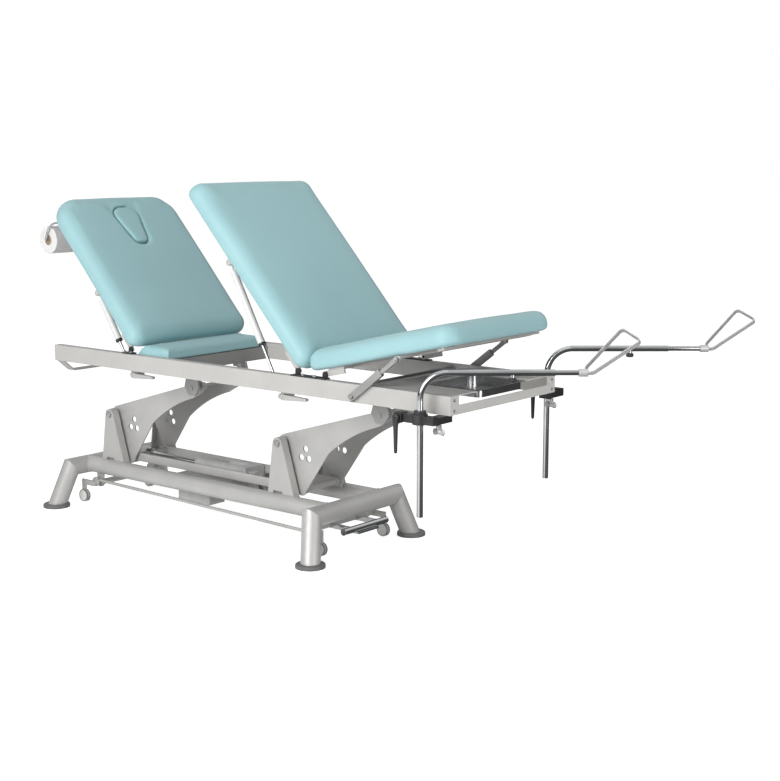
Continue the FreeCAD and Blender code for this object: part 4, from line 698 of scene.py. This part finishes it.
def fill_out(pad, base, side, top, reach):
    """Foam pushed out by side and, within reach of the head-side edge, up by top.

    The underside stays flat on its board.
    """
    mesh = pad.data
    points = read_points(mesh)
    normals = np.empty(len(mesh.vertices) * 3)
    mesh.vertices.foreach_get("normal", normals)
    normals = normals.reshape(-1, 3)
    low = points.min(axis=0)
    high = points.max(axis=0)
    inside = np.minimum(points - low, high - points)[:, :2].min(axis=1, keepdims=True)
    rim = np.clip((EDGE_ZONE - inside) / EDGE_FADE, 0.0, 1.0)
    lift = np.clip((points[:, 2:3] - base) / BOARD_FADE, 0.0, 1.0)
    rise = np.clip((low[0] + reach - points[:, :1]) / RISE_FADE, 0.0, 1.0) * top
    push = np.hstack([rim * side, rim * side, rise])
    write_points(mesh, points + normals * push * lift)


def swell(pad, base, cap):
    """Foam pressing the cover out: cloth under pressure with the stapled underside held."""
    start = read_points(pad.data)
    held = pad.vertex_groups.new(name="stapled")
    held.add([i for i, p in enumerate(start) if p[2] < base + STAPLED_BAND], 1.0, "REPLACE")
    cloth = pad.modifiers.new("cover", "CLOTH")
    settings = cloth.settings
    settings.use_pressure = True
    settings.uniform_pressure_force = PRESSURE
    settings.effector_weights.gravity = 0.0
    settings.vertex_group_mass = "stapled"
    settings.quality = 4
    settings.tension_stiffness = 20.0
    settings.compression_stiffness = 20.0
    settings.bending_stiffness = 3.0
    cloth.collision_settings.use_collision = False
    cloth.point_cache.frame_start = 1
    cloth.point_cache.frame_end = CLOTH_STEPS
    for step in range(1, CLOTH_STEPS + 1):
        scene.frame_set(step)
    mesh = baked(pad)
    scene.frame_set(1)
    moved = read_points(mesh) - start
    far = np.linalg.norm(moved, axis=1, keepdims=True)
    moved = moved * np.minimum(1.0, cap / np.maximum(far, 1e-9))
    write_points(mesh, start + moved)
    pad.vertex_groups.clear()


def relax(pad, rounds):
    smooth = pad.modifiers.new("relax", "SMOOTH")
    smooth.factor = 0.5
    smooth.iterations = rounds
    baked(pad)


def line_underside(pad, base, lined):
    """Give the faces under the board the lining; a small pad is covered all round."""
    mesh = pad.data
    mesh.materials.clear()
    mesh.materials.append(VINYL)
    mesh.materials.append(LINING)
    points = read_points(mesh)
    low = points.min(axis=0) + LINING_INSET
    high = points.max(axis=0) - LINING_INSET
    for face in mesh.polygons:
        x, y, z = face.center
        inside = lined and low[0] < x < high[0] and low[1] < y < high[1]
        under = z < base + LINING_BAND and face.normal.z < -0.9
        face.material_index = 1 if inside and under else 0
        face.use_smooth = True


def staple_row(pad, base, corner):
    """Places of the staples round the underside, clear of the rounded corners."""
    points = read_points(pad.data)
    low = points.min(axis=0) + STAPLE_INSET
    high = points.max(axis=0) - STAPLE_INSET
    height = base + STAPLE_SUNK
    row = []
    for x in np.arange(low[0] + corner, high[0] - corner, STAPLE_PITCH):
        row += [((x, y, height), DOWN, LENGTH) for y in (low[1], high[1])]
    for y in np.arange(low[1] + corner, high[1] - corner, STAPLE_PITCH):
        row += [((x, y, height), DOWN, (0.0, 1.0, 0.0)) for x in (low[0], high[0])]
    return row


WHOLE_LENGTH = 2.0


def upholster(name, node, body, hinge, tilt, voxel, side, top, cap,
              corner=None, tuck=0.0, reach=WHOLE_LENGTH):
    """One stuffed section, made flat and then turned to its place about its hinge.

    Its foam stands out by side and top and the cover swells by up to cap. A corner radius means
    staples and lining; tuck slopes the head-side edge under the next section.
    """
    swing = Matrix.Rotation(math.radians(tilt), 4, "Y")
    turn = Matrix.Translation(hinge) @ swing @ Matrix.Translation(-hinge)
    pad = flat_copy(name, node, turn.inverted())
    points = read_points(pad.data)
    base = points[:, 2].min()
    depth = 1.0 - (1.0 - TUCK_AT_TOP) * (points[:, 2] - base) / (points[:, 2].max() - base)
    rear = points[:, 0] < points[:, 0].mean()
    points[rear, 0] -= tuck * depth[rear]
    write_points(pad.data, points)
    remesh(pad, voxel)
    fill_out(pad, base, side, top, reach)
    swell(pad, base, cap)
    relax(pad, 3)
    line_underside(pad, base, corner is not None)
    finer = pad.modifiers.new("finer", "SUBSURF")
    finer.levels = 1
    finer.render_levels = 1
    baked(pad)
    if corner:
        staples = copied(name + "_staples", staple, staple_row(pad, base, corner), 1.0, ZINC)
        staples.data.transform(turn)
        fitted(staples, body)
    pad.data.transform(turn)
    pad.data.update()
    fitted(pad, body)
    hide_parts(node)


HINGE_HEIGHT = 665.0
TILT = 47.5
FOOT_TILT = -13.1
BACK_HINGE = spot(622.0, 0.0, HINGE_HEIGHT)
HEAD_HINGE = spot(-215.0, 0.0, HINGE_HEIGHT)
FOOT_HINGE = spot(743.0, 0.0, HINGE_HEIGHT)

upholster("back_pad", "back_cushion", "back_section", BACK_HINGE, TILT,
          voxel=0.008, side=0.018, top=0.013, cap=0.003, corner=0.05)
upholster("head_pad", "head_cushion", "head_section", HEAD_HINGE, TILT,
          voxel=0.007, side=0.016, top=0.012, cap=0.003, corner=0.12)
upholster("foot_pad", "foot_cushion", "foot_section", FOOT_HINGE, FOOT_TILT,
          voxel=0.008, side=0.013, top=0.009, cap=0.003, corner=0.07)
upholster("filler_pad", "filler_cushion", "top_frame", FOOT_HINGE, 0.0,
          voxel=0.006, side=0.0, top=0.004, cap=0.003, tuck=0.03, reach=0.054)
upholster("face_plug_pad", "face_plug", "face_plug", HEAD_HINGE, TILT,
          voxel=0.004, side=-0.0025, top=0.014, cap=0.002)


# Paper roll: a roll of couch paper wound on a card core, hung behind the head section on a bent
# chromed wire. Its ends show the windings as fine rings.
def wound_paper(axis):
    """White tissue; on the ends the windings show as rings round the axis."""
    finish = Finish("tissue")
    centre = [-part for part in axis]
    around = finish.add("ShaderNodeMapping", None, {"Vector": finish.place, "Location": centre})
    rings = finish.add("ShaderNodeTexWave", {"wave_type": "RINGS", "rings_direction": "Y"},
                       {"Vector": around, "Scale": 130.0, "Distortion": 0.6})
    fibre = finish.noise(420.0, 3.0)
    colour = finish.mix(rings * 0.5 + fibre * 0.5, tone(0.74, 0.74, 0.73), tone(0.86, 0.86, 0.85))
    finish.set({"Base Color": colour, "Roughness": 0.9, "Normal": finish.bump(rings + fibre * 0.3, 0.0003)})
    return finish.material


wear(CHROME, "roll_holder")
roll_low, roll_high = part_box("paper_roll")
roll_middle = (roll_low + roll_high) / 2
roll_half = (roll_high.y - roll_low.y) * 500.0
roll_radius = (roll_high.x - roll_low.x) * 500.0
CORE_RADIUS = 20.0
CORE_WALL = 1.4
CORE_DEPTH = 4.0
AXLE_RADIUS = 4.9
WINDINGS = 15
WINDING_STEP = 0.25
PAPER = wound_paper(roll_middle)
CARD = moulded("card_core", tone(0.36, 0.29, 0.21), tone(0.43, 0.35, 0.26), 0.85)
bore = CORE_RADIUS - CORE_WALL
roll_half_profile = [(roll_radius, 0), (roll_radius, roll_half - 1.2), (roll_radius - 1.0, roll_half - 0.2)]
for i, radius in enumerate(np.linspace(roll_radius - 2.5, CORE_RADIUS, WINDINGS)):
    roll_half_profile.append((radius, roll_half - WINDING_STEP * (i % 2)))
roll_half_profile += [(CORE_RADIUS, roll_half), (bore, roll_half), (bore, roll_half - CORE_DEPTH)]
roll_half_profile.append((AXLE_RADIUS, roll_half - CORE_DEPTH))
roll_profile = [(r, -z) for r, z in reversed(roll_half_profile)] + roll_half_profile[1:]
roll_mesh = turned("paper_roll_wound", roll_profile, 64)
roll_mesh.transform(Matrix.Translation(roll_middle) @ ACROSS)
roll = new_piece("paper_roll_wound", roll_mesh, PAPER, CARD)
for face in roll_mesh.polygons:
    away = face.center - roll_middle
    face.material_index = 1 if math.hypot(away.x, away.z) * 1000.0 < CORE_RADIUS + 0.1 else 0
fitted(roll, "paper_roll")
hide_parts("paper_roll")


# Bowl: a shallow drawer of pressed stainless sheet with a brushed face. It slides in and out at the
# foot end, between the rails and under the raised cushion.
STAINLESS = plated("stainless_sheet", tone(0.58, 0.585, 0.59), 0.16, 0.08, (1.0, 14.0, 1.0), 0.000005)
wear(STAINLESS, "bowl")


# Leg supports: black clamps on the rails with moulded levers and cast wing screws hold bent chromed
# posts. Rods slide in the posts, locked by fluted knobs, and carry stirrups bent from satin strip.
SQUARENESS = 3.0


def lofted(name, rows, steps=32):
    """A closed mesh along Z through rounded boxes; rows are height and half sizes in millimetres."""
    shape = bmesh.new()
    rings = []
    for height, half_x, half_y in rows:
        ring = []
        for i in range(steps):
            angle = 2 * math.pi * i / steps
            across = math.cos(angle)
            deep = math.sin(angle)
            reach = (abs(across) ** SQUARENESS + abs(deep) ** SQUARENESS) ** (-1 / SQUARENESS) / 1000.0
            ring.append(shape.verts.new((half_x * across * reach, half_y * deep * reach, height / 1000.0)))
        rings.append(ring)
    for low, high in zip(rings, rings[1:]):
        for i in range(steps):
            j = (i + 1) % steps
            shape.faces.new((low[i], low[j], high[j], high[i]))
    shape.faces.new(rings[0])
    shape.faces.new(rings[-1])
    return smooth_mesh(name, shape, 50.0)


def joined(name, *meshes):
    shape = bmesh.new()
    for mesh in meshes:
        shape.from_mesh(mesh)
    made = bpy.data.meshes.new(name)
    shape.to_mesh(made)
    shape.free()
    return made


SATIN = powder_coat("satin_strip", tone(0.6, 0.6, 0.6), tone(0.7, 0.7, 0.7), 0.5, 0.3)
CAST = plated("wing_casting", tone(0.55, 0.55, 0.54), 0.36, 0.12, (1.0, 1.0, 1.0))
wear(BLACK, "leg_clamps", "clamp_bush_near", "clamp_bush_far")
wear(CHROME, "leg_post_near", "leg_post_far", "stirrup_rod_near", "stirrup_rod_far")
wear(SATIN, "stirrup_near", "stirrup_far")

FLUTES = -10
KNOB_STEM = 4.0
KNOB = [(0, 0), (7.0, 0), (10.6, 0.7), (12.2, 2.4, FLUTES), (12.4, 10.4, FLUTES), (11.2, 12.6, FLUTES),
        (8.0, 13.8), (KNOB_STEM, 14.0)]

LEVER_X = 1130.0
LEVER_OUT = 378.2
LEVER_UP = 582.0
LEVER = ((-112.0, 2.6, 2.4), (-110.6, 4.2, 3.4), (-106.0, 5.2, 4.2), (-88.0, 5.8, 4.6), (-60.0, 6.6, 5.0),
         (-32.0, 7.6, 5.4), (-14.0, 9.6, 5.8), (-4.0, 11.6, 5.8), (3.0, 11.8, 5.8), (8.0, 9.6, 5.4),
         (11.0, 6.0, 4.4), (12.0, 3.0, 2.4))

SCREW_X = 1246.0
SCREW_OUT = 312.0
SCREW_UP = 566.0
SCREW_STEM = [(0, -20), (5.0, -20), (5.0, -16), (9.0, -15), (9.0, -4.6), (8.4, -4), (5.0, -4), (5.0, 20),
              (0, 20)]
WING_DROP = 25.0
WING_HALF = ((0.0, 7.0, 6.0), (5.0, 7.4, 4.4), (10.0, 9.4, 3.0), (16.0, 10.6, 2.8), (20.5, 8.0, 2.2),
             (22.0, 4.0, 1.4))
WING = [(-height, wide, deep) for height, wide, deep in reversed(WING_HALF[1:])] + list(WING_HALF)

for hand, side in (("near", -1), ("far", 1)):
    node = "bar_knob_" + hand
    low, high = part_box(node)
    tall = (high.z - low.z) * 1000.0
    mesh = turned(node + "_fluted", KNOB + [(KNOB_STEM, tall), (0, tall)], 80)
    mesh.transform(Matrix.Translation(((low.x + high.x) / 2, (low.y + high.y) / 2, low.z)))
    knob = fitted(new_piece(node + "_fluted", mesh, BLACK), node)
    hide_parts(node)

    node = "clamp_lever_" + hand
    mesh = lofted(node + "_handle", LEVER)
    mesh.transform(Matrix.Translation(spot(LEVER_X, side * LEVER_OUT, LEVER_UP)))
    handle = fitted(new_piece(node + "_handle", mesh, BLACK), node)
    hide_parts(node)

    node = "wing_screw_" + hand
    stem = turned(node + "_stem", SCREW_STEM)
    wing = lofted(node + "_wing", WING)
    wing.transform(Matrix.Translation((0.0, 0.0, -WING_DROP / 1000.0)) @ LENGTHWISE)
    mesh = joined(node + "_cast", stem, wing)
    mesh.transform(Matrix.Translation(spot(SCREW_X, side * SCREW_OUT, SCREW_UP)))
    screw = fitted(new_piece(node + "_cast", mesh, CAST), node)
    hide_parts(node)
